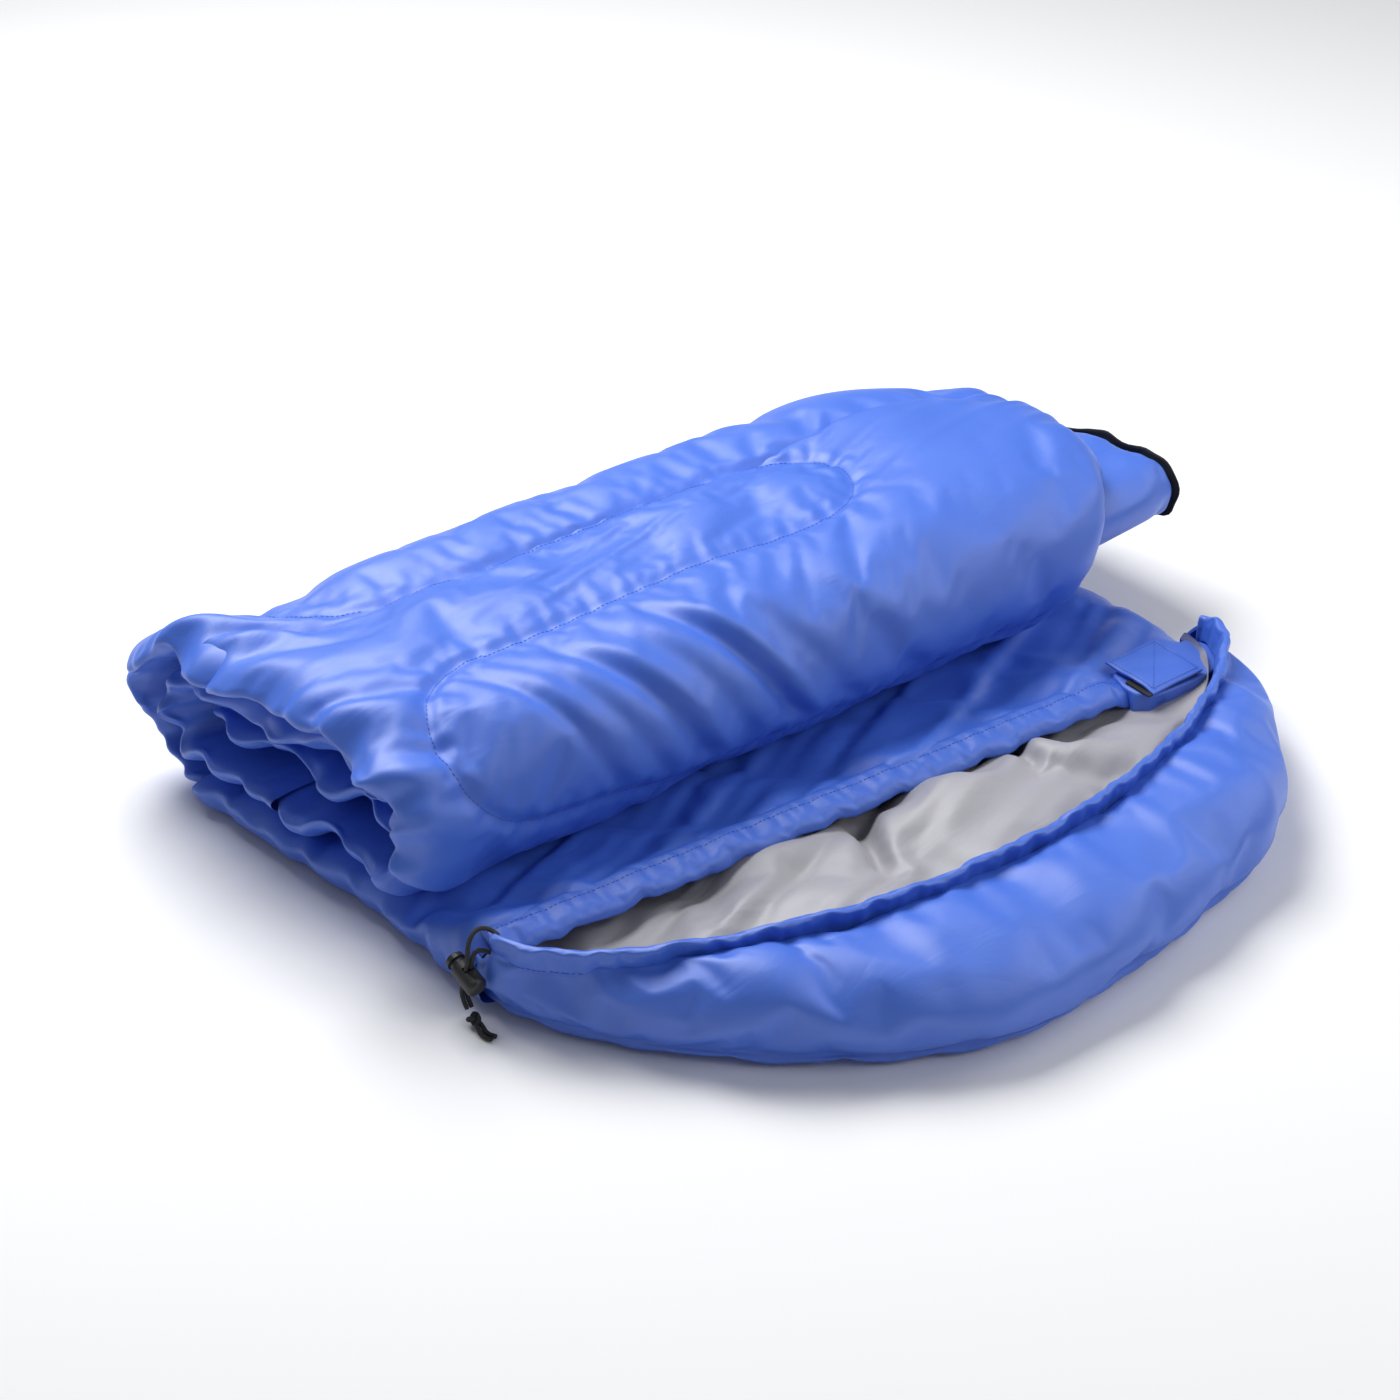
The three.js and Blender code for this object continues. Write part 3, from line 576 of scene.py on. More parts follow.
# %% Cord, plastic and metal materials
def simple_material(name, dark, light, roughness, scale, bump, metallic=0.0, stretch=(1, 1, 1)):
    material = bpy.data.materials.new(name)
    material.use_nodes = True
    tree = material.node_tree
    shader = tree.nodes["Principled BSDF"]
    shader.inputs["Metallic"].default_value = metallic
    where = node(tree, "ShaderNodeTexCoord")
    mapping = node(tree, "ShaderNodeMapping", {"Scale": stretch})
    noise = node(tree, "ShaderNodeTexNoise", {"Scale": scale, "Detail": 5.0, "Roughness": 0.6})
    tree.links.new(where.outputs["Object"], mapping.inputs["Vector"])
    tree.links.new(mapping.outputs["Vector"], noise.inputs["Vector"])
    tree.links.new(between_colours(tree, noise.outputs["Fac"], dark, light), shader.inputs["Base Color"])
    spread = math_node(tree, "MULTIPLY", noise.outputs["Fac"], 0.24)
    tree.links.new(math_node(tree, "ADD", spread, roughness - 0.12), shader.inputs["Roughness"])
    bumps = node(tree, "ShaderNodeBump", {"Strength": 0.4, "Distance": bump})
    tree.links.new(noise.outputs["Fac"], bumps.inputs["Height"])
    tree.links.new(bumps.outputs[0], shader.inputs["Normal"])
    return material


def braid_material():
    material = bpy.data.materials.new("black_braid")
    material.use_nodes = True
    tree = material.node_tree
    shader = tree.nodes["Principled BSDF"]
    where = node(tree, "ShaderNodeUVMap", uv_map="cloth")
    axes = node(tree, "ShaderNodeSeparateXYZ")
    tree.links.new(where.outputs[0], axes.inputs[0])
    strands_round, strand_pitch = 4, 0.0028
    turns_round = 2 * math.pi / (math.pi * CORD_D * MM) * strands_round
    round_it = math_node(tree, "MULTIPLY", axes.outputs[0], turns_round)
    along = math_node(tree, "MULTIPLY", axes.outputs[1], 2 * math.pi / strand_pitch)
    one = math_node(tree, "SINE", math_node(tree, "ADD", round_it, along))
    other = math_node(tree, "SINE", math_node(tree, "SUBTRACT", round_it, along))
    strands = math_node(tree, "MULTIPLY_ADD", math_node(tree, "MULTIPLY", one, other), 0.5)
    colour = between_colours(tree, strands, (0.006, 0.006, 0.007), (0.03, 0.03, 0.033))
    tree.links.new(colour, shader.inputs["Base Color"])
    shader.inputs["Roughness"].default_value = 0.7
    bumps = node(tree, "ShaderNodeBump", {"Strength": 0.8, "Distance": 0.0004})
    tree.links.new(strands, bumps.inputs["Height"])
    tree.links.new(bumps.outputs[0], shader.inputs["Normal"])
    return material


black_braid = braid_material()
black_plastic = simple_material(
    "black_plastic", (0.010, 0.010, 0.011), (0.022, 0.022, 0.024), 0.42, 240, 0.0001
)
zip_plastic = simple_material(
    "black_zip_teeth", (0.008, 0.008, 0.009), (0.02, 0.02, 0.022), 0.36, 400, 0.0001
)
zip_metal = simple_material(
    "zip_metal", (0.30, 0.25, 0.17), (0.52, 0.45, 0.33), 0.34, 90, 0.0001, metallic=1.0, stretch=(1, 6, 1)
)
spring_steel = simple_material(
    "spring_steel", (0.42, 0.42, 0.43), (0.62, 0.62, 0.63), 0.3, 300, 0.00005, metallic=1.0
)
print("a braid, two plastics and two metals")


# %% [markdown]
# The small hard parts are carried over from the solid model as they are, and only get their finish. The
# cord lock's spring is one of them. It has to shorten when the button is pressed; its end on the button's
# side is found, and it gets a mesh of its own.

# %% The small hard parts
def finish_carried(finish, *node_names):
    """Gives parts that come from the solid model their material."""
    for node_name in node_names:
        carried = frame["nodes"][node_name]
        carried.data.materials.clear()
        carried.data.materials.append(finish)


finish_carried(black_plastic, "cord_lock_barrel", "cord_lock_plunger")
finish_carried(spring_steel, "cord_lock_spring")
finish_carried(zip_metal, "zip_slider_body", "zip_pull_tab", "zip_top_stop")

spring = frame["nodes"]["cord_lock_spring"]
press = np.array(joints["lock_press"]["axis"])
along_press = coordinates(spring) @ press
spring_end = coordinates(spring).mean(0) + press * (along_press.max() - along_press.mean())
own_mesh(spring)


# %% [markdown]
# Each strand is one tube along its own route. `cord_tube` gives every piece of the drawcord the same
# thickness and braid, so that strands, knot and tails look cut from one length.

# %% The two strands of the drawcord
def cord_tube(name, route, sides, step):
    return tube(name, route, CORD_D / 2, sides, step, black_braid, ripple=0.05)


drawcord_end, end_path, end_length = cord_tube("drawcord_end", FREE_ROUTE, 16, 0.7)
drawcord_back, back_path, back_length = cord_tube("drawcord_back", RETURN_ROUTE, 16, 0.7)
print("drawcord ends", round(end_length, 1), round(back_length, 1), "mm")


# %% [markdown]
# An overhand knot in a doubled cord is a lump of crossing strands. A trefoil curve crosses itself just
# as an overhand knot does, so the lump is a tube swept round a small trefoil. The two cut ends come out
# of it side by side and lie on the floor.

# %% The knot and its tails
def trefoil(centre, size, height, count=60):
    angles = np.linspace(0, 2 * math.pi, count)
    x = (np.sin(angles) + 2 * np.sin(2 * angles)) / 3
    y = (np.cos(angles) - 2 * np.cos(2 * angles)) / 3
    z = -np.sin(3 * angles)
    return np.stack([centre[0] + x * size, centre[1] + y * size, centre[2] + z * height], axis=1)


knot, _, knot_length = cord_tube("drawcord_knot_braid", trefoil((-377, 5.0, 6.2), 4.6, 2.0), 14, 0.8)
TAILS = [
    [(-378.5, 2, 5), (-379.4, -3, 3), (-380.2, -8, 2.0), (-379.6, -13, 1.9), (-377.6, -18, 1.9)],
    [(-375.5, 2, 5), (-375.2, -3, 3), (-376.0, -8, 2.0), (-375.0, -13, 1.9), (-372.8, -17, 1.9)],
]
tails = [cord_tube(f"drawcord_tail_{i}", route, 14, 0.8)[0] for i, route in enumerate(TAILS)]
join_into(knot, *tails)
print("knot of", round(knot_length, 1), "mm")
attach(knot, "bag_base")
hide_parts("drawcord_knot")
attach(drawcord_end, "bag_base")
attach(drawcord_back, "bag_base")
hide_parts("drawcord_free")
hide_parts("drawcord_return")


# %% [markdown]
# ## The roll
# One pass of the closed bag is two quilted panels, about 34 mm thick. Its mid plane goes over the top
# of the roll, round the front, back underneath and so on into the middle, as a flat spiral. `path`
# walks along straights and arcs and gives the mid plane's points, the outward normals and the
# distance walked, measured on the bag's outside.

# %% Walking along the spiral
def path(segments, step):
    """Rows of y, z, normal y, normal z and distance, along the segments.

    They are ("line", y0, y1, z, angle of the normal) and ("arc", y, z, radius, first angle, last angle).
    """
    rows, walked = [], 0.0
    for kind, *sizes in segments:
        if kind == "line":
            y0, y1, z, angle = sizes
            length = abs(y1 - y0)
            t = np.linspace(0, 1, max(int(round(length / step)), 1) + 1)
            y, height = y0 + (y1 - y0) * t, np.full_like(t, z)
            angle = np.full_like(t, math.radians(angle))
        else:
            centre_y, centre_z, radius, a0, a1 = sizes
            length = math.radians(abs(a1 - a0)) * (radius + HALF_BAG)
            t = np.linspace(0, 1, max(int(round(length / step)), 2) + 1)
            angle = np.radians(a0 + (a1 - a0) * t)
            y, height = centre_y + radius * np.cos(angle), centre_z + radius * np.sin(angle)
        rows_here = np.stack([y, height, np.cos(angle), np.sin(angle), walked + length * t], axis=1)
        rows.append(rows_here if not rows else rows_here[1:])
        walked += length
    return np.concatenate(rows)


FRONT_TURN = ("arc", FRONT_Y, (TOP_Z + UNDER_Z) / 2, (TOP_Z - UNDER_Z) / 2, 90, 270)
REAR_TURN = ("arc", REAR_Y, REAR_R + HALF_BAG, REAR_R, -90, 90)
rear_y = place((0, REAR_Y, 0))[1]
TURN_BEND = ("bag_base", "rolled_bag", (0, rear_y, 0.01), (0, rear_y, 0.165))  # from the floor up, in metres
print("front turn", round(path([FRONT_TURN], 10)[-1, 4]), "mm round")


# %% [markdown]
# Soft goods slump. The back of the roll leans in, both rear corners sink, and the left end flares out
# where the cloth was pulled. One smooth map does this to every piece of the roll and of the base, so
# that the pieces still meet.

# %% The slump
def settle(points):
    """Moves points in millimetres to where a soft roll really lies."""
    points = np.array(points, float)
    x, y, z = np.moveaxis(points.copy(), -1, 0)
    right = smooth((x - 200) / 200) * smooth((y - 130) / 330)
    left = smooth((-x - 200) / 190) * smooth((y - 150) / 300)
    back = smooth((330 - x) / 150) * (1 - 0.75 * smooth((-x - 270) / 110)) * smooth((y - 150) / 250)
    points[..., 0] = x - 30 * left * smooth((-x - 250) / 130)
    flare = smooth((-x - 290) / 90) * smooth((y - 230) / 140)
    points[..., 1] = y - 14 * smooth((y - 200) / 200) - 20 * back - 74 * right + 22 * flare
    points[..., 2] = z * (1 - 0.17 * right - 0.10 * left - 0.05 * back)
    return points


# %% [markdown]
# Across the bag the outside is nearly flat, then curves down to the seam along its edge and tucks back
# in underneath. `across` gives that outline as columns: which edge, how far in from it, how high over
# the mid plane.

# %% The outline across one pass
LIP = 48.0  # how far in from the edge the outside starts to curve down
TUCK = 62.0  # how far the inner side is made behind the seam
SEAM_HEIGHT, UNDER_HEIGHT, OUTSIDE = -6.0, -15.5, 13.0


def across(width, step, flat_step=None):
    """Columns of (edge, distance in from it, height over the mid plane, share of the way across)."""
    tuck_steps = int(round(TUCK / step))
    lip_steps = int(round(1.2 * LIP / step))
    tuck = [
        (0, TUCK * (1 - math.cos(a)), SEAM_HEIGHT + (UNDER_HEIGHT - SEAM_HEIGHT) * math.sin(a))
        for a in np.linspace(math.pi / 2, 0, tuck_steps, endpoint=False)
    ]
    lip = [
        (0, LIP * (1 - math.cos(a)), SEAM_HEIGHT + (OUTSIDE - SEAM_HEIGHT) * math.sin(a))
        for a in np.linspace(0, math.pi / 2, lip_steps, endpoint=False)
    ]
    half = width / 2
    flat_steps = int((half - LIP) / (flat_step or step))
    middle = [(0, inset, OUTSIDE) for inset in np.linspace(LIP, half, flat_steps)]
    columns = tuck + lip + middle
    columns += [(1, inset, height) for _, inset, height in reversed(columns[:-1])]
    columns = np.array(columns)
    place_across = np.where(columns[:, 0] < 0.5, columns[:, 1], width - columns[:, 1])
    share = np.clip((place_across - LIP) / (width - 2 * LIP), 0, 1)
    return np.column_stack([columns, share]), tuck_steps


def outer_side(columns):
    """1 on the outside of a pass and 0 on its tucked-in side."""
    return smooth((columns[:, 2] - 2) / 10)[None]


print("across the roll", len(across(775, 5)[0]), "columns")


# %% [markdown]
# The quilting on the outside is one serpentine seam: long rows across the bag, joined by wide
# half-circle turns. `seam_distance` tells how far each point of the cloth is from it, which both
# presses the groove into the panel and pins the stitches.

# %% The serpentine quilting seam
ROWS = [-265.0, -115.0, 34.0, 175.0, 358.0]  # along the cloth, counted from the top rear of the roll
TURNS_X = {1: 95.0, -1: -240.0}  # where the half circles on the right and on the left are centred


SEAM_STEP = 2.0
SEAM_START, SEAM_STOP = -340.0, 300.0  # where its two ends are


def serpentine():
    """The seam as points (x, s): across the bag, and along the cloth from the top rear of the roll."""
    points, way = [], 1
    for row, following in zip(ROWS, [*ROWS[1:], None]):
        start, stop = TURNS_X[-way], TURNS_X[way]
        if row == ROWS[0]:
            start = SEAM_START
        if following is None:
            stop = SEAM_STOP
        for x in np.arange(start, stop, SEAM_STEP * way):
            dip = 26 * float(smooth((x + 240) / 140)) if row == ROWS[-1] else 0.0
            points.append((x, row + dip + 3 * math.sin(x / 70 + row)))
        if following is not None:
            radius, centre = (following - row) / 2, (following + row) / 2
            for a in np.linspace(-math.pi / 2, math.pi / 2, int(math.pi * radius / SEAM_STEP)):
                points.append((stop + way * radius * math.cos(a), centre + radius * math.sin(a)))
        way = -way
    return np.array(points)


SEAM = serpentine()


def seam_distance(x, s):
    """How far each point is from the seam, and how far along the seam its nearest stitch is."""
    flat = np.stack([np.ravel(x), np.ravel(s)], axis=1)
    best, along = np.full(len(flat), np.inf), np.zeros(len(flat))
    batch = 40  # a few points of the seam at a time, to save memory
    for start in range(0, len(SEAM), batch):
        gaps = np.linalg.norm(flat[:, None] - SEAM[None, start:start + batch], axis=2)
        gap = gaps.min(1)
        along = np.where(gap < best, (start + gaps.argmin(1)) * SEAM_STEP, along)
        best = np.minimum(best, gap)
    return best.reshape(np.shape(x)), along.reshape(np.shape(x))


print("quilting seam", len(SEAM), "points")


# %% [markdown]
# The two edges of a pass are gathered where zip and binding were sewn on, so they make uneven scallops.
# `lay_across` puts the outline on every row of the spiral, and ripples it near the edges only.

# %% Laying the outline along the spiral
def gathered(s, side, seed):
    """How far the gathers push an edge out; side 0 is the left edge and 1 the right one."""
    return np.where(side < 0.5, 8.0 * waves(s, 96, seed), 3.5 * waves(s, 98, seed + 3))


def edge_folds(s, side, seed):
    """How far the gathers lift an edge."""
    return np.where(side < 0.5, 9.0, 3.5) * waves(s + 17, 92, seed + 1)


def lay_across(rows, columns, left, right, scallop=1.0, seed=0):
    """Points of a pass, rows by columns, with its two edges gathered into uneven scallops."""
    s = rows[:, 4][:, None]
    side, inset, height = columns[:, 0][None], columns[:, 1][None], columns[:, 2][None]
    near = np.exp(-((inset / 30.0) ** 2)) * scallop
    wide = np.exp(-((inset / 75.0) ** 2)) * scallop * np.where(height > UNDER_HEIGHT + 6, 1, 0.4)
    folds = edge_folds(s - 0.45 * inset, side, seed)
    inset = inset - near * (gathered(s, side, seed) + 2.0 * (1 - side) * waves(s, 34, seed + 5))
    height = height + wide * folds + near * 1.2 * waves(s, 31, seed + 2)
    share = columns[:, 3][None]
    spare = (right - left - 2 * columns[:, 1].max())[:, None]
    across_left = left[:, None] + inset + share * spare
    across_right = right[:, None] - inset - (1 - share) * spare
    x = np.where(side < 0.5, across_left, across_right)
    y = rows[:, 0][:, None] + rows[:, 2][:, None] * height
    z = rows[:, 1][:, None] + rows[:, 3][:, None] * height
    return np.stack([x, y, z], axis=2)


def raise_along(points, rows, lift):
    points[..., 1] += rows[:, 2][:, None] * lift
    points[..., 2] += rows[:, 3][:, None] * lift


def quilt_lift(x, s, columns):
    """Height that the quilting gives the outside: a groove, short puckers across it, and puffs between."""
    near_seam, along = seam_distance(x, s)
    puff = 5.5 * (1 - np.exp(-((near_seam / 45.0) ** 2)))
    groove = 5.0 * np.exp(-((near_seam / 7.0) ** 2))
    drawn = 0.45 + 0.55 * smooth(0.5 + waves(along, 330, 2))
    beside_seam = np.exp(-(((near_seam - 8) / 10.0) ** 2))
    pucker = 1.6 * waves(along + 0.25 * near_seam, 22, 1) * beside_seam * drawn
    return (puff - groove + pucker) * outer_side(columns), near_seam


def edge_pins(shape, tuck_steps):
    """The hidden inner side, the two ends and the cloth under the zip stay where they are."""
    pins = np.zeros(shape, bool)
    pins[:, :tuck_steps + 1] = pins[:, -tuck_steps - 4:] = True
    pins[0] = pins[-1] = True
    return pins


# %% [markdown]
# The outer pass is the piece that everyone sees. Its left edge flares towards the back and its right
# edge draws in towards the floor. A few long drag folds run down the front from the middle seam, ending
# in small forks. They are shaped first, and the swelling does the rest.

# %% The outer pass of the roll
STEP = 5.0
STITCHED = 0.55 * STEP  # how near the seam a point is sewn down
WRAP_START = 20  # how far in front of the rear the outer pass begins
outer_path = [
    ("line", REAR_Y - WRAP_START, FRONT_Y, TOP_Z, 90), FRONT_TURN, ("line", FRONT_Y, 300, UNDER_Z, 270),
]
outer_rows = path(outer_path, STEP)
outer_rows[:, 4] += WRAP_START
outer_columns, outer_tuck = across(775, STEP)
s_rows = outer_rows[:, 4]
left_edge = -386 + 10 * smooth((s_rows - 300) / 120)
wrap_right = 392 - 30 * smooth((s_rows - 90) / 160) - 62 * smooth((s_rows - 200) / 190)
points = lay_across(outer_rows, outer_columns, left_edge, wrap_right, seed=1)
x, s = points[..., 0], np.broadcast_to(s_rows[:, None], points.shape[:2])
lift, near_seam = quilt_lift(x, s, outer_columns)
outside = outer_side(outer_columns)
DRAG_FOLDS = [  # where it ends on the front, how far it leans, how deep and how wide it is
    (-26, 0.62, 8.5, 10), (-117, 0.60, 7.5, 10), (-196, 0.50, 3.5, 9), (-72, 0.6, 2.6, 9),
    (-156, 0.58, 2.2, 8), (24, 0.62, 1.8, 11), (86, 0.6, 1.8, 14), (170, 0.5, 0.6, 20), (240, 0.42, 0.8, 20),
]
reach = smooth((s - 180) / 90) * smooth((366 - s) / 22)
for foot_x, lean, depth, width in DRAG_FOLDS:
    line_x = foot_x - lean * (345 - s)
    valley = np.exp(-(((x - line_x) / width) ** 2))
    ridge = 0.5 * np.exp(-(((x - line_x - 1.9 * width) / width) ** 2))
    lift = lift - depth * reach * (valley - ridge) * outside
calm = 1 - 0.75 * smooth((x - 90) / 120)
flowing = waves(x + 0.6 * s, 41, 5) * smooth((s - 180) / 40) * smooth((400 - s) / 60) * calm
broad = 1.7 * waves(x + 0.6 * s, 230, 2) + 1.2 * waves(s - 0.4 * x, 170, 4)
streaks = 0.9 * waves(0.35 * x + s, 43, 7) * smooth((210 - s) / 60)
tucked_end = 8 * smooth((s - s_rows[-1] + 30) / 18)
slack = broad * (0.5 + 0.5 * calm) + 0.5 * flowing + streaks - tucked_end
sewn_start = 6 * smooth((36 - s) / 12)
lift = lift + slack * outside - sewn_start
raise_along(points, outer_rows, lift)
roll_wrap = panel("roll_wrap", settle(points), blue_satin, flip=True)
sewn = (near_seam < STITCHED) & (outer_columns[:, 2][None] > 3)
sewn |= edge_pins(sewn.shape, outer_tuck)
stuff(roll_wrap, sewn[:, ::-1], fill=0.6, growth=0.016, pressure=0.5, cap=6)
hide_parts("roll_back_shell", "roll_back_batting", "roll_back_lining")
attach(roll_wrap, "rolled_bag")

# %% [markdown]
# The back of the roll is the pass that turns up from the floor, between the base and the roll. Its upper
# edge meets the outer pass in the groove of a quilting seam.

# %% The rear turn
TURN_STEP = 6.0
FLOOR_OVERLAP, TOP_OVERLAP = 60, 50  # how far the turn runs on past the rear, below and above
FLOOR_GAP = 0.8  # cloth on the floor lies this far over it
turn_path = [
    ("line", REAR_Y - FLOOR_OVERLAP, REAR_Y, HALF_BAG, 270), REAR_TURN,
    ("line", REAR_Y, REAR_Y - TOP_OVERLAP, TOP_Z, 90),
]
turn_rows = path(turn_path, TURN_STEP)
turn_rows[:, 4] += TOP_OVERLAP - turn_rows[-1, 4]
turn_columns, turn_tuck = across(745, TURN_STEP)
s_rows = turn_rows[:, 4]
left_edge = -386 + 22 * smooth((-60 - s_rows) / 240)
turn_right = 392 - 40 * smooth((-60 - s_rows) / 200)
points = lay_across(turn_rows, turn_columns, left_edge, turn_right, seed=4)
s = np.broadcast_to(s_rows[:, None], points.shape[:2])
lift, near_seam = quilt_lift(points[..., 0], s, turn_columns)
lift = lift * smooth((s + 330) / 60) + 3 * smooth((-s - 270) / 40) - 6 * smooth((s - 32) / 12)
raise_along(points, turn_rows, lift)
points[..., 2] = np.maximum(points[..., 2], FLOOR_GAP)
roll_turn = panel("roll_turn", settle(points), blue_satin, flip=True)
sewn = (near_seam < 3.4) & (turn_columns[:, 2][None] > 3) & (s > -290)
sewn |= edge_pins(sewn.shape, turn_tuck) | (points[..., 2] < 3)
stuff(roll_turn, sewn[:, ::-1], fill=0.6, growth=0.02, pressure=0.5, cap=7, frames=12)
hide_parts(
    "turn_back_shell", "turn_back_batting", "turn_back_lining",
    "turn_front_lining", "turn_front_batting", "turn_front_shell",
)
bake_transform(roll_turn)

# %% [markdown]
# Inside the outer pass the spiral goes on for two more passes. Only their ends show, so the columns are
# close together at the ends and far apart in the middle. They slid to the right as the bag was rolled.

# %% The inner passes
core_rows = path(
    [
        ("line", 262, REAR_Y, UNDER_Z, 270),
        ("arc", REAR_Y, REAR_R + HALF_BAG, PITCH, -90, 90),
        ("line", REAR_Y, FRONT_Y, INNER_Z, 90),
        ("arc", FRONT_Y, (INNER_Z + CORE_Z) / 2, (INNER_Z - CORE_Z) / 2, 90, 270),
        ("line", FRONT_Y, REAR_Y, CORE_Z, 270),
    ],
    7,
)
core_columns, core_tuck = across(800, 6, flat_step=24)
s_rows = core_rows[:, 4]
left_edge = -376 + 14 * smooth((s_rows - 184) / 300)
core_right = 398 + 44 * smooth((s_rows - 184) / 250)
points = lay_across(core_rows, core_columns, left_edge, core_right, seed=7)
dipped_start = 7 * smooth((38 - s_rows[:, None]) / 24)
raise_along(points, core_rows, -dipped_start * outer_side(core_columns))
roll_core = panel("roll_core", settle(points), blue_satin, flip=True)
sewn = edge_pins(points.shape[:2], core_tuck)
stuff(roll_core, sewn[:, ::-1], fill=0.5, growth=0.03, pressure=0.5, cap=6, frames=10)
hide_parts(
    "roll_front_lining", "roll_front_batting", "roll_front_shell", "roll_side_binding",
    "foot_end_binding",
)
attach(roll_core, "rolled_bag")


# %% [markdown]
# ## The base
# The lowest pass lies on the floor. Seen from the end it is a flat ring: a floor side, a seam low down
# on each side, a rounded wall and a top. Towards the mouth the top rises, because the bag is held open
# there by its hem. The ring is drawn by a few points and swept from the mouth to the back.

# %% The base pass
def mouth_drift(x):
    """The mouth runs across the bag a little askew."""
    return -13 - 17 * np.asarray(x, float) / 300


def under_tab(x):
    """1 at the right end of the mouth, which the tab presses down."""
    return smooth((x - 232) / 25)


base_y = np.concatenate([np.arange(16, 130, 5.5), np.arange(130, 372, 9)])
rise = 20 * smooth((115 - base_y) / 95)
left_x = -364 - 8 * smooth((base_y - 100) / 160)
right_x = 362 + 4 * smooth((base_y - 60) / 200)
RING = [  # fraction across from left to right, inset from the edge, height, share of the rise
    (0, 0, 14, 0), (0, 3, 6, 0), (0, 22, 1.2, 0), (0, 60, FLOOR_GAP, 0), (0.5, 0, FLOOR_GAP, 0),
    (1, 60, FLOOR_GAP, 0), (1, 22, 1.2, 0), (1, 3, 6, 0), (1, 0, 14, 0), (1, -4, 25, 0.35), (1, 8, 33, 0.75),
    (1, 34, 37, 1), (1, 80, 38, 1), (0.5, 0, 38, 1), (0, 80, 38, 1), (0, 34, 37, 1), (0, 8, 33, 0.75),
    (0, -4, 25, 0.35), (0, 0, 14, 0),
]
ring = np.zeros((len(RING), len(base_y), 3))
for i, (fraction, inset, height, share) in enumerate(RING):
    edge = mix(left_x, right_x, fraction)
    ring[i, :, 0] = edge + inset * (1 - 2 * fraction)
    ring[i, :, 1] = base_y
    ring[i, :, 2] = height + share * rise
points = spline(ring, 300).transpose(1, 0, 2)
upper = smooth((points[..., 2] - 16) / 16)
x, y = points[..., 0], points[..., 1]
slack = 3.0 * waves(x + 0.8 * y, 95, 3) + 2.0 * waves(x * 0.7 - 1.5 * y, 60, 5)
points[..., 2] += upper * slack * smooth((y - 16) / 20)
points[..., 0] += np.sign(x) * 2.5 * smooth((np.abs(x) - 300) / 60) * waves(y, 48, 6)
below_hem = upper * 6 * smooth((26 - y) / 10)
below_tab = upper * 7 * under_tab(x) * smooth((80 - y) / 40)
points[..., 2] -= below_hem + below_tab
points[..., 1] += mouth_drift(x) * smooth((120 - y) / 105) * upper
base_skin = panel("base_skin", settle(points), blue_satin)
sewn = points[..., 2] < 15
sewn[0] = sewn[-1] = True
swell(base_skin, sewn, growth=0.035, pressure=0.4, cap=7, frames=12)
close_tube(base_skin, caps=False)
refine(base_skin)
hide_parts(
    "base_back_shell", "base_back_batting", "base_front_shell", "base_front_batting",
    "base_front_lining", "base_side_binding",
)
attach(base_skin, "bag_base")


# %% [markdown]
# ## The hood
# In plan the hood lies between two curves, the edge of its opening and its outer edge. `rim_opening` and
# `rim_outer` walk them side by side, from the left corner round the front to the right corner. The left
# end runs on a little beside the mouth, and the right end curls in. Everything sewn to the hood is placed
# between these two curves.

# %% The two curves of the hood
HOOD_LEFT, HOOD_RIGHT = -356.0, 363.0
OPENING_DEPTH, HOOD_DEPTH = 150.0, 268.0
RIM_COLUMNS = 210


def with_ends(curve):
    """The curve with a short straight beside the mouth at its left end and a short curl at its right end."""
    left = [(HOOD_LEFT, y) for y in np.arange(30, 0, -5.0)]
    right = [(HOOD_RIGHT - 3, 5), (HOOD_RIGHT - 8, 9), (HOOD_RIGHT - 14, 12)]
    return np.concatenate([left, curve, right]), slice(len(left) - 1, len(left) + len(curve) + 1)


turn_angles = np.radians(np.linspace(180, 360, 2000))
half_width = np.where(np.cos(turn_angles) < 0, -HOOD_LEFT, HOOD_RIGHT)
flatter = smooth(np.abs(np.cos(turn_angles)) * 2.5)
depth_share = np.abs(np.sin(turn_angles)) ** (1 + 0.55 * flatter)
opening_share = np.abs(np.sin(turn_angles)) ** (1 + 0.25 * flatter)
opening_curve = np.stack([half_width * np.cos(turn_angles), -OPENING_DEPTH * opening_share], axis=1)
outer_curve = np.stack([half_width * np.cos(turn_angles), -HOOD_DEPTH * depth_share], axis=1)
# The hood fell to the right: it bulges there, and is drawn in a little where the bulge ends.
fallen = 20 * smooth((outer_curve[:, 0] - 130) / 80) - 16 * np.exp(-(((outer_curve[:, 0] - 45) / 90) ** 2))
outer_curve += np.array([0.62, -0.78]) * (fallen * smooth(-outer_curve[:, 1] / 60))[:, None]
walked = distances(outer_curve)
rim_at = np.linspace(0, walked[-1], RIM_COLUMNS)
rim_opening, on_rim = with_ends(points_at(rim_at, walked, opening_curve))
rim_outer, _ = with_ends(points_at(rim_at, walked, outer_curve))
rim_s = distances(rim_outer)
rim_normal = level_normals(rim_outer)
brim = smooth(np.linalg.norm(rim_outer - rim_opening, axis=1) / 85)
end_drop = 0.35 * smooth((rim_outer[:, 1] - 2) / 14)
HOOD_BEND = ("bag_base", "hood", *[tuple(place((0, y, 17))) for y in (-32, -82)])
print("hood edge", round(rim_s[-1]), "mm round")


# %% [markdown]
# The hood's cloth goes out from the hem over a stuffed brim, down to a seam just over the floor, and
# under to the middle. At the two corners the brim runs out, and the same cloth is a plain wall. Its
# profile is a short list of points: the share of the way out, millimetres further out, and the height
# with a brim and without one.

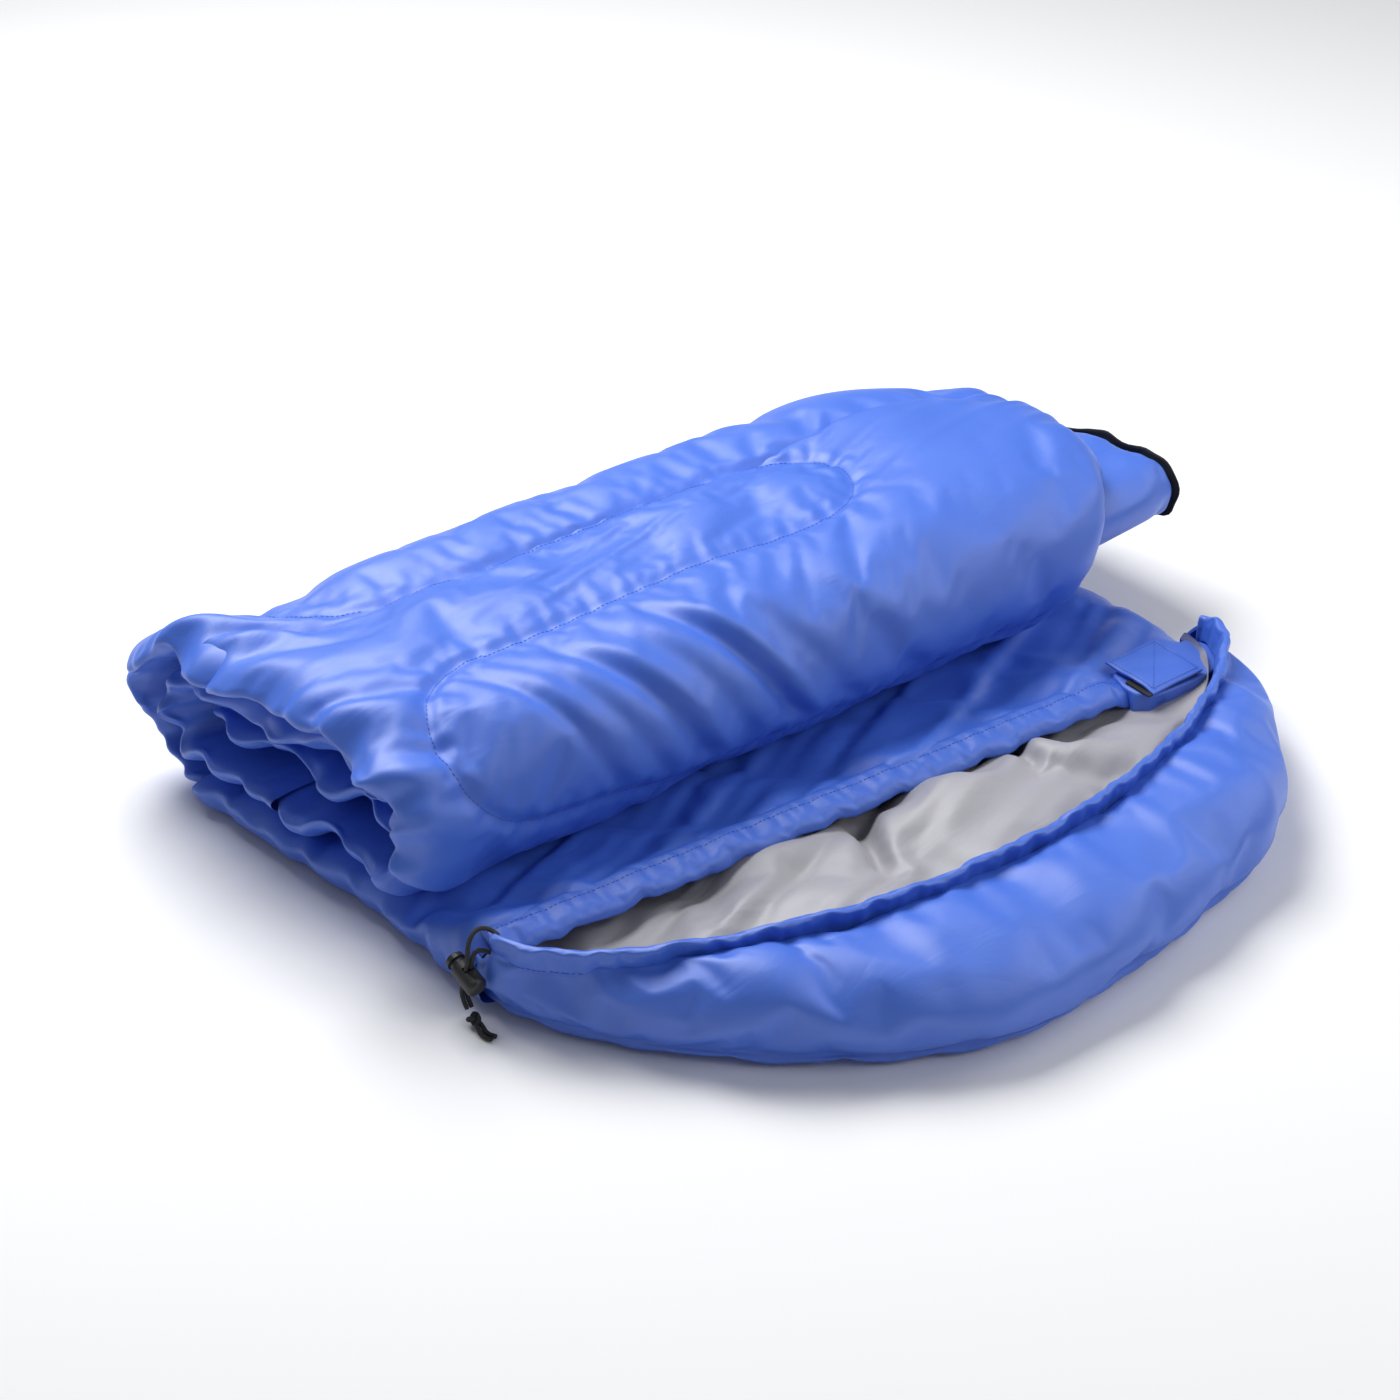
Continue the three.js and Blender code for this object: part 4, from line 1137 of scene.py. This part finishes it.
# %% The hood's shell
HOOD_PROFILE = [
    (0.00, -1, 62, 60), (0.02, 1, 70, 64), (0.14, 1, 77, 59), (0.34, 2, 82, 53), (0.58, 3, 81, 47),
    (0.80, 4, 71, 40), (0.95, 5, 54, 32), (1.00, 4, 36, 24), (0.99, 1, 21, 18), (0.97, -3, 14, 14),
    (0.99, 0, 9, 9), (0.96, -6, 2.5, 2.5), (0.88, -20, FLOOR_GAP, FLOOR_GAP),
    (0.5, -40, FLOOR_GAP, FLOOR_GAP),
]


def hood_rows(profile):
    rows = np.zeros((len(profile), len(rim_outer), 3))
    for i, (share, out, high, low) in enumerate(profile):
        rows[i, :, :2] = mix(rim_opening, rim_outer, share) + rim_normal * out
        rows[i, :, 2] = mix(low, high, brim)
    rows[..., 2] -= end_drop * np.maximum(rows[..., 2] - 14, 0)
    beside_zip = smooth((rim_outer[:, 1] + 12) / 10) * (rim_outer[:, 0] > 0)
    rows[..., 0] -= 8 * beside_zip * smooth((46 - rows[..., 2]) / 20)
    return rows


profile_rows = hood_rows(HOOD_PROFILE)
to_middle = profile_rows[-1].copy()
to_middle[:, 0] *= 0.92
to_middle[:, 1] = np.maximum(-12, to_middle[:, 1] * 0.05)
points = spline(np.concatenate([profile_rows, to_middle[None]]), 74)
wall = smooth((points[..., 2] - 15) / 25)
s = np.broadcast_to(rim_s[None], points.shape[:2])
outward = np.concatenate([rim_normal, np.zeros((len(rim_normal), 1))], axis=1)[None]
height_share = np.clip(points[..., 2] / 88, 0, 1)
lobes = 3.2 * waves(s + 70 * height_share, 190, 2) + 1.8 * waves(s - 60 * height_share, 97, 5)
points += outward * (wall * lobes)[..., None]
points[..., 2] += wall * (2.6 * waves(s, 150, 8) + 0.8 * waves(s, 61, 9)) * brim[None]
hood_skin = panel("hood_skin", points, blue_satin)
sewn = points[..., 2] < 1.5
sewn[:2] = True
sewn[:, 0] = sewn[:, -1] = True
seam_row = np.flatnonzero(points[:, points.shape[1] // 2, 2] < 14)[0]
sewn[seam_row] = True
stuff(hood_skin, sewn, fill=0.6, growth=0.02, pressure=0.6, cap=8, bending=2.0)
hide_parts("hood_shell", "hood_batting", "gusset_left", "gusset_right")
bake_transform(hood_skin)

# %% [markdown]
# The hem is a folded band that the drawcord runs in. It stands on the edge of the opening and leans out
# a little. Where the cord draws it, it puckers.

# %% The hood's hem
HEM_SECTION = [  # across the band: outwards, and up from its middle
    (0, 12), (3.4, 10.5), (4.4, 4), (4.2, -5), (3.4, -11.5), (0, -12.5), (-3.2, -11), (-4.0, -4), (-4.0, 5),
    (-3.2, 10.8),
]
section = spline(HEM_SECTION, 29, closed=True)
along = spline(rim_opening[on_rim], 260)
along_s = distances(along)
along_normal = level_normals(along)
along_brim = np.interp(along[:, 0], rim_opening[on_rim, 0], brim[on_rim])
hem_height = mix(66, 73, along_brim)
sway = 1.5 * waves(along_s, 90, 6)
end_dip = 9 * smooth((along[:, 1] + 14) / 16) * (along[:, 0] > 0)
pucker = 0.8 * waves(along_s, 47, 1) + 0.3 * waves(along_s, 17, 4)
points = np.zeros((len(section), len(along), 3))
for i, (out, up) in enumerate(section):
    lean = 0.22 * up
    reach = out * (1 + 0.08 * waves(along_s, 39, 3)) + pucker * (1 + up / 24) + lean + 1
    points[i, :, :2] = along + along_normal * reach[:, None]
    points[i, :, 2] = hem_height + up + sway - end_dip
hood_hem = panel("hood_hem_band", points.transpose(1, 0, 2), blue_hem)
stitched = np.zeros((len(along), len(section)), bool)
stitched[:, [i for i, (_, up) in enumerate(section) if up < -9.5]] = True
stitched[0] = stitched[-1] = stitched[:, 0] = stitched[:, -1] = True
swell(hood_hem, stitched, growth=0.022, pressure=0.3, cap=3.5, frames=14, bending=0.8)
close_tube(hood_hem)
refine(hood_hem)
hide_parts("hood_hem", "hem_end_left", "hem_end_right", "drawcord_in_hem", "drawcord_in_corner")
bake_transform(hood_hem)

# %% [markdown]
# ## The lining
# The inside is slack grey satin over soft filling. It comes out of the mouth, swells over the floor of
# the hood with two quilted clefts in it, and climbs to the hem in long folds.

# %% The lining
lining_x = np.linspace(-349, 361, 118)
opening_y = np.interp(lining_x, rim_opening[on_rim, 0], rim_opening[on_rim, 1])
LINING_PROFILE = [  # millimetres back from the hem curve, height, share of the way to the hem
    (62, 20, 0), (34, 21, 0), (8, 24, 0), (0, 29, 0.2), (0, 35, 0.42), (0, 40, 0.64), (0, 47, 0.84),
    (6, 51, 0.97), (1, 60, 1.0),
]
SIDES_RISE = (0, 0, 0.4, 1)  # the first rows' share of the rise at the sides; later rows take all of it
rows = np.zeros((len(LINING_PROFILE), len(lining_x), 3))
side_rise = smooth((np.abs(lining_x) - 295) / 55)
side_height = np.where(lining_x < 0, 50, 42)
for i, (shift, height, share) in enumerate(LINING_PROFILE):
    early = min(i, 3)
    rows[i, :, 0] = lining_x * (1 - 0.012 * early)
    rows[i, :, 1] = shift + opening_y * share
    rows[i, :, 2] = height + side_rise * SIDES_RISE[early] * np.maximum(0, side_height - height)
points = spline(rows, 56)
x, y = points[..., 0], points[..., 1]
inside = np.sin(np.linspace(0, math.pi, len(points)))[:, None]
LOBE_CRESTS = [  # soft folds of slack cloth: the ends of the crest in plan, its height and its half width
    ((-300, 2), (-128, 6), 8, 34), ((-128, 6), (-66, -34), 10, 34), ((-16, -40), (52, -34), 11, 34),
    ((52, -34), (140, -42), 12, 40), ((140, -42), (230, -72), 11, 34), ((-200, -40), (-70, -85), 8, 36),
    ((20, -90), (120, -95), 7, 36), ((230, -30), (320, -45), 8, 30),
]
for first, last, height, width in LOBE_CRESTS:
    first, last = np.array(first, float), np.array(last, float)
    run = last - first
    t = np.clip(((points[..., :2] - first) @ run) / (run @ run), 0, 1)
    gap = np.linalg.norm(points[..., :2] - (first + t[..., None] * run), axis=2)
    points[..., 2] += height * np.exp(-((gap / width) ** 2)) * inside
points[..., 2] += inside * (4.0 * waves(x + 1.1 * y, 170, 3) + 3.0 * waves(x * 0.6 - 1.6 * y, 84, 6))
CLEFTS = [  # where a quilted cleft runs in plan, its depth and its half width
    ([(-26, -14), (-40, -40), (-52, -66)], 15, 11), ([(172, 50), (152, 14), (132, -22), (128, -40)], 12, 9),
]
cleft_gap = np.full(points.shape[:2], np.inf)
for route, depth, width in CLEFTS:
    line = spline(np.array(route, float), 40)
    gap = np.linalg.norm(points[..., None, :2] - line[None, None], axis=3).min(2)
    points[..., 2] -= depth * np.exp(-((gap / width) ** 2)) * inside
    cleft_gap = np.minimum(cleft_gap, gap)
lining = panel("hood_lining_cloth", points, grey_lining, flip=True)
sewn = np.zeros(points.shape[:2], bool)
sewn[0] = sewn[-1] = sewn[:, 0] = sewn[:, -1] = True
sewn |= cleft_gap < 4
stuff(lining, sewn[:, ::-1], fill=0.4, growth=0.045, pressure=0.3, cap=10, frames=18, bending=1.5)
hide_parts("hood_lining", "base_back_lining")
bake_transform(lining)

# %% [markdown]
# The mouth has its own channel hem, a flat band that follows the front edge of the bag from corner to
# corner. It is wrinkled all along, because its drawcord is drawn a little.

# %% The mouth's hem
MOUTH_SECTION = [  # across the band: forward and up
    (19, 8.5), (13, 10.8), (6, 11), (-1, 9.5), (-7, 6), (-10.5, 0.5), (-10.5, -4), (-7, -5.5), (-2, -2),
    (5, 2), (13, 4.5), (18, 5),
]
section = spline(MOUTH_SECTION, 33, closed=True)
mouth_x = np.linspace(-350, 330, 230)
mouth_y, mouth_z = 13.6 + mouth_drift(mouth_x), 46.4
crimp = waves(mouth_x, 47, 2)
fine = waves(mouth_x, 17, 7)
points = np.zeros((len(mouth_x), len(section), 3))
for i, (forward, up) in enumerate(section):
    points[:, i, 0] = mouth_x
    points[:, i, 1] = mouth_y + forward + crimp
    points[:, i, 2] = mouth_z + up + (0.9 * crimp + 0.3 * fine) * (1 - forward / 20)
points[..., 2] -= 7 * under_tab(mouth_x)[:, None]
mouth_hem = panel("mouth_hem_band", points, blue_hem)
stitched = np.zeros(points.shape[:2], bool)
stitched[:, :3] = stitched[:, -3:] = True
stitched[0] = stitched[-1] = True
swell(mouth_hem, stitched, growth=0.014, pressure=0.3, cap=4, frames=14, bending=0.8)
close_tube(mouth_hem)
refine(mouth_hem)
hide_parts("mouth_hem")
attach(mouth_hem, "bag_base")

# %% [markdown]
# ## The zip
# The long side closes with a coil zip. Closed, it is a black tape that stands across the edge of the bag,
# with the coil along its middle. Both are swept along the same path as the pass that they close: the
# tape as a thin band with Solidify, and the coil as a tube with fine ripples.

# %% The zip along each pass
def zip_pieces(name, rows, edge_x, half_height, middle=0.0):
    """A tape and a coil along one pass, settled with the rest of the roll."""
    across_tape = np.linspace(-half_height, half_height, 7)
    points = np.zeros((len(rows), len(across_tape), 3))
    for i, height in enumerate(across_tape):
        points[:, i, 0] = edge_x - 2.0 * (height / half_height) ** 2
        points[:, i, 1] = rows[:, 0] + rows[:, 2] * (height + middle)
        points[:, i, 2] = rows[:, 1] + rows[:, 3] * (height + middle)
    tape = panel(name + "_tape", settle(points), black_webbing)
    apply_modifier(tape, "SOLIDIFY", thickness=1.1 * MM, offset=0.0)
    coil_route = settle(points)[:, 3] + np.array([1.2, 0, 0])
    coil, _, _ = tube(name + "_coil", coil_route, 1.9, 8, 1.5, zip_plastic, ripple=0.16)
    join_into(tape, coil)
    return tape


def gathered_zip(name, rows, right_edge, half_height, seed, out, up):
    """A zip along the gathered right edge of a pass, so far out from its seam and so far up from it."""
    s = rows[:, 4]
    edge_x = right_edge + gathered(s, 1, seed) + out
    return zip_pieces(name, rows, edge_x, half_height, SEAM_HEIGHT + up + edge_folds(s, 1, seed))


roll_zip = gathered_zip("roll_zip", outer_rows, wrap_right, 5, 1, -0.5, -4)
core_zip = gathered_zip("core_zip", core_rows, core_right, 11, 7, 3, 3)
join_into(roll_zip, core_zip)
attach(roll_zip, "rolled_bag")
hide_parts("roll_zip_tape_back", "roll_zip_tape_front", "roll_zip_teeth")
turn_zip = gathered_zip("turn_zip_band", turn_rows, turn_right, 7, 4, 0.5, -1)
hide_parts("turn_zip")
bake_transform(turn_zip)
base_path = path([("line", 22, REAR_Y - 14, HALF_BAG, 270)], 6)
base_x = 368 + 4 * smooth((base_path[:, 0] - 60) / 200) + 2.5 * waves(base_path[:, 0], 48, 6)
base_zip = zip_pieces("base_zip", base_path, base_x, 9)
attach(base_zip, "bag_base")
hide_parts("zip_tape_front", "zip_tape_back", "zip_teeth_front", "zip_teeth_back")


# %% [markdown]
# ## The guard over the top of the zip
# A short blue tab is sewn to the bag behind the mouth and reaches over the gap. Hook fabric under it
# holds it on a patch of loop fabric on the hood's corner. The tab starts as a thin box that is cut into
# a grid in edit mode, so that it can sag between its ends.

# %% The tab
def solid_box(name, low, high, cuts, material):
    """A box between two corners in millimetres, subdivided in edit mode."""
    deselect()
    low, high = place(low), place(high)
    bpy.ops.mesh.primitive_cube_add(size=1, location=tuple((low + high) / 2))
    piece = bpy.context.object
    piece.name = name
    piece.scale = tuple(high - low)
    bpy.ops.object.transform_apply(location=True, rotation=False, scale=True)
    select_all_in_edit(piece)
    bpy.ops.mesh.subdivide(number_cuts=cuts)
    bpy.ops.uv.cube_project(cube_size=1.0)
    bpy.ops.object.mode_set(mode="OBJECT")
    piece.data.uv_layers[0].name = "cloth"
    piece.data.materials.append(material)
    return piece


def in_millimetres(piece):
    """The piece's points in millimetres from the middle of the neck."""
    return (coordinates(piece) - NECK) / MM


TAB_LOW, TAB_HIGH = np.array([262, -42, 56.6]), np.array([319, 14, 58.6])
tab = solid_box("guard_tab_cloth", TAB_LOW, TAB_HIGH, 11, blue_hem)
local = in_millimetres(tab)
local[:, 2] += 0.8 * waves(local[:, 0] * 0.5 + local[:, 1], 34, 2) - 1.5 * smooth((-30 - local[:, 1]) / 12)
edge_gap = np.minimum(local[:, :2] - TAB_LOW[:2], TAB_HIGH[:2] - local[:, :2]).min(1)
top_face = local[:, 2] > 57
local[:, 2] += np.where(top_face, 1.1 * smooth(edge_gap / 4), 0)
set_coordinates(tab, place(local))
apply_modifier(tab, "BEVEL", width=0.5 * MM, segments=2)
refine(tab)
bpy.ops.object.shade_smooth()
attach(tab, "zip_guard")
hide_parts("guard_tab")
print("guard tab", len(tab.data.vertices), "points")

# %% [markdown]
# Under the tab the hood's corner is gathered into a small bundle of pleats. It starts as a subdivided box
# too. Its corners are drawn in until it is nearly round, and its wall is pushed in and out by two sines.

# %% The gathered corner
PAD_LOW, PAD_HIGH = (254, -45, 17), (358, 8, 53)
PAD_MIDDLE, PAD_HALF = np.array([306.0, -18.0]), np.array([52.0, 27.0])
corner = solid_box("guard_corner_cloth", PAD_LOW, PAD_HIGH, 13, blue_satin)
local = in_millimetres(corner)
outwards = local[:, :2] - PAD_MIDDLE
ring_angle = np.arctan2(outwards[:, 1], outwards[:, 0])
belly = np.sin(np.clip((local[:, 2] - PAD_LOW[2]) / (PAD_HIGH[2] - PAD_LOW[2]), 0, 1) * math.pi)
deep_pleats, fine_pleats = np.sin(9 * ring_angle + 0.06 * local[:, 2]), np.sin(23 * ring_angle)
pleat = 1 + 0.07 * belly * deep_pleats + 0.04 * belly * fine_pleats
squared = np.max(np.abs(outwards) / PAD_HALF, axis=1)
rounded = np.hypot(*(outwards / PAD_HALF).T)
inward = (squared / np.maximum(rounded, 1e-6)) ** 0.5
local[:, :2] = PAD_MIDDLE + outwards * (inward * pleat)[:, None]
set_coordinates(corner, place(local))
refine(corner)
bpy.ops.object.shade_smooth()
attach(corner, "bag_base")
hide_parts("guard_pad")
hook_fabric = simple_material(
    "hook_and_loop_fabric", (0.004, 0.004, 0.005), (0.05, 0.05, 0.052), 0.9, 900, 0.0006
)
finish_carried(hook_fabric, "guard_hook_patch", "guard_loop_patch")
print("corner pad", len(corner.data.vertices), "points")


# %% [markdown]
# ## Stitches
# A lockstitch shows as a row of short threads sunk a little into the cloth. One stitch is a small
# lens of few faces. A copy is laid at every step along a line of points, on the surface of the finished
# cloth, which is found with a search tree.

# %% Rows of stitches
STITCH_REACH = 25.0  # a stitch farther than this from the cloth is left out
STITCH_SIDES = 6


def stitch_row(name, cloth, line, body, pitch=4.2, length=2.9, radius=0.42):
    """Stitches along a line in millimetres, laid on the nearest surface of the cloth."""
    tree = BVHTree.FromObject(cloth, bpy.context.evaluated_depsgraph_get())
    line = np.asarray(line, float)
    walked = distances(line)
    at = (np.arange(int(walked[-1] / pitch)) + 0.5) * pitch
    centres, ahead = points_at(at, walked, line), points_at(at + 1.0, walked, line)
    mesh = bmesh.new()
    laid = 0
    for centre, front in zip(place(centres), place(ahead)):
        spot, normal, _, gap = tree.find_nearest(Vector(centre))
        if spot is None or gap > STITCH_REACH * MM:
            continue
        laid += 1
        way = Vector(front) - Vector(centre)
        way = (way - normal * way.dot(normal)).normalized()
        side = normal.cross(way)
        middle = spot + normal * radius * 0.35 * MM
        rings = []
        for along, size in ((-0.5, 0.35), (-0.25, 0.95), (0.25, 0.95), (0.5, 0.35)):
            rings.append([
                mesh.verts.new(
                    middle + way * along * length * MM
                    + (side * math.cos(a) + normal * math.sin(a)) * radius * size * MM
                )
                for a in np.linspace(0, 2 * math.pi, STITCH_SIDES, endpoint=False)
            ])
        for first, second in zip(rings, rings[1:]):
            for k in range(STITCH_SIDES):
                after = (k + 1) % STITCH_SIDES
                mesh.faces.new((first[k], first[after], second[after], second[k]))
        mesh.faces.new(rings[0][::-1])
        mesh.faces.new(rings[-1])
    bmesh.ops.recalc_face_normals(mesh, faces=mesh.faces)
    data = bpy.data.meshes.new(name)
    mesh.to_mesh(data)
    mesh.free()
    data.materials.append(blue_thread)
    data.uv_layers.new(name="cloth")
    piece = bpy.data.objects.new(name, data)
    bpy.context.collection.objects.link(piece)
    if isinstance(body, str):
        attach(piece, body)
    else:
        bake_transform(piece)
    print(name, laid, "stitches")


def on_outside(seam, rows):
    """Points of the seam laid on the outside of a pass, with the groove taken off."""
    y = np.interp(seam[:, 1], rows[:, 4], rows[:, 0] + rows[:, 2] * (OUTSIDE - 5))
    z = np.interp(seam[:, 1], rows[:, 4], rows[:, 1] + rows[:, 3] * (OUTSIDE - 5))
    return settle(np.stack([seam[:, 0], y, z], axis=1))


on_wrap = SEAM[(SEAM[:, 1] > 33) & (SEAM[:, 1] < 440)]
stitch_row("quilting_stitches", roll_wrap, on_outside(on_wrap, outer_rows), "rolled_bag")
on_turn = SEAM[(SEAM[:, 1] < 30) & (SEAM[:, 1] > -280)]
stitch_row("turn_stitches", roll_turn, on_outside(on_turn, turn_rows), TURN_BEND)
hem_line = np.column_stack([along + along_normal * 7, hem_height - 9.5])
stitch_row("hood_hem_stitches", hood_hem, hem_line, HOOD_BEND)
mouth_line = np.column_stack([mouth_x, mouth_y + 7.5, np.full(len(mouth_x), 59.0)])
stitch_row("mouth_hem_stitches", mouth_hem, mouth_line, "bag_base")
seam_margin = 3
(low_x, low_y), (high_x, high_y) = TAB_LOW[:2] + seam_margin, TAB_HIGH[:2] - seam_margin
corners = [(low_x, low_y), (high_x, low_y), (high_x, high_y), (low_x, high_y), (low_x, low_y)]
tab_outline = np.array([(x, y, 60.0) for x, y in corners])
for name, line in (("tab_stitches", tab_outline), ("tab_cross_stitches", tab_outline[[0, 2]])):
    stitch_row(name, tab, line, "zip_guard", pitch=3.2, length=2.3, radius=0.35)
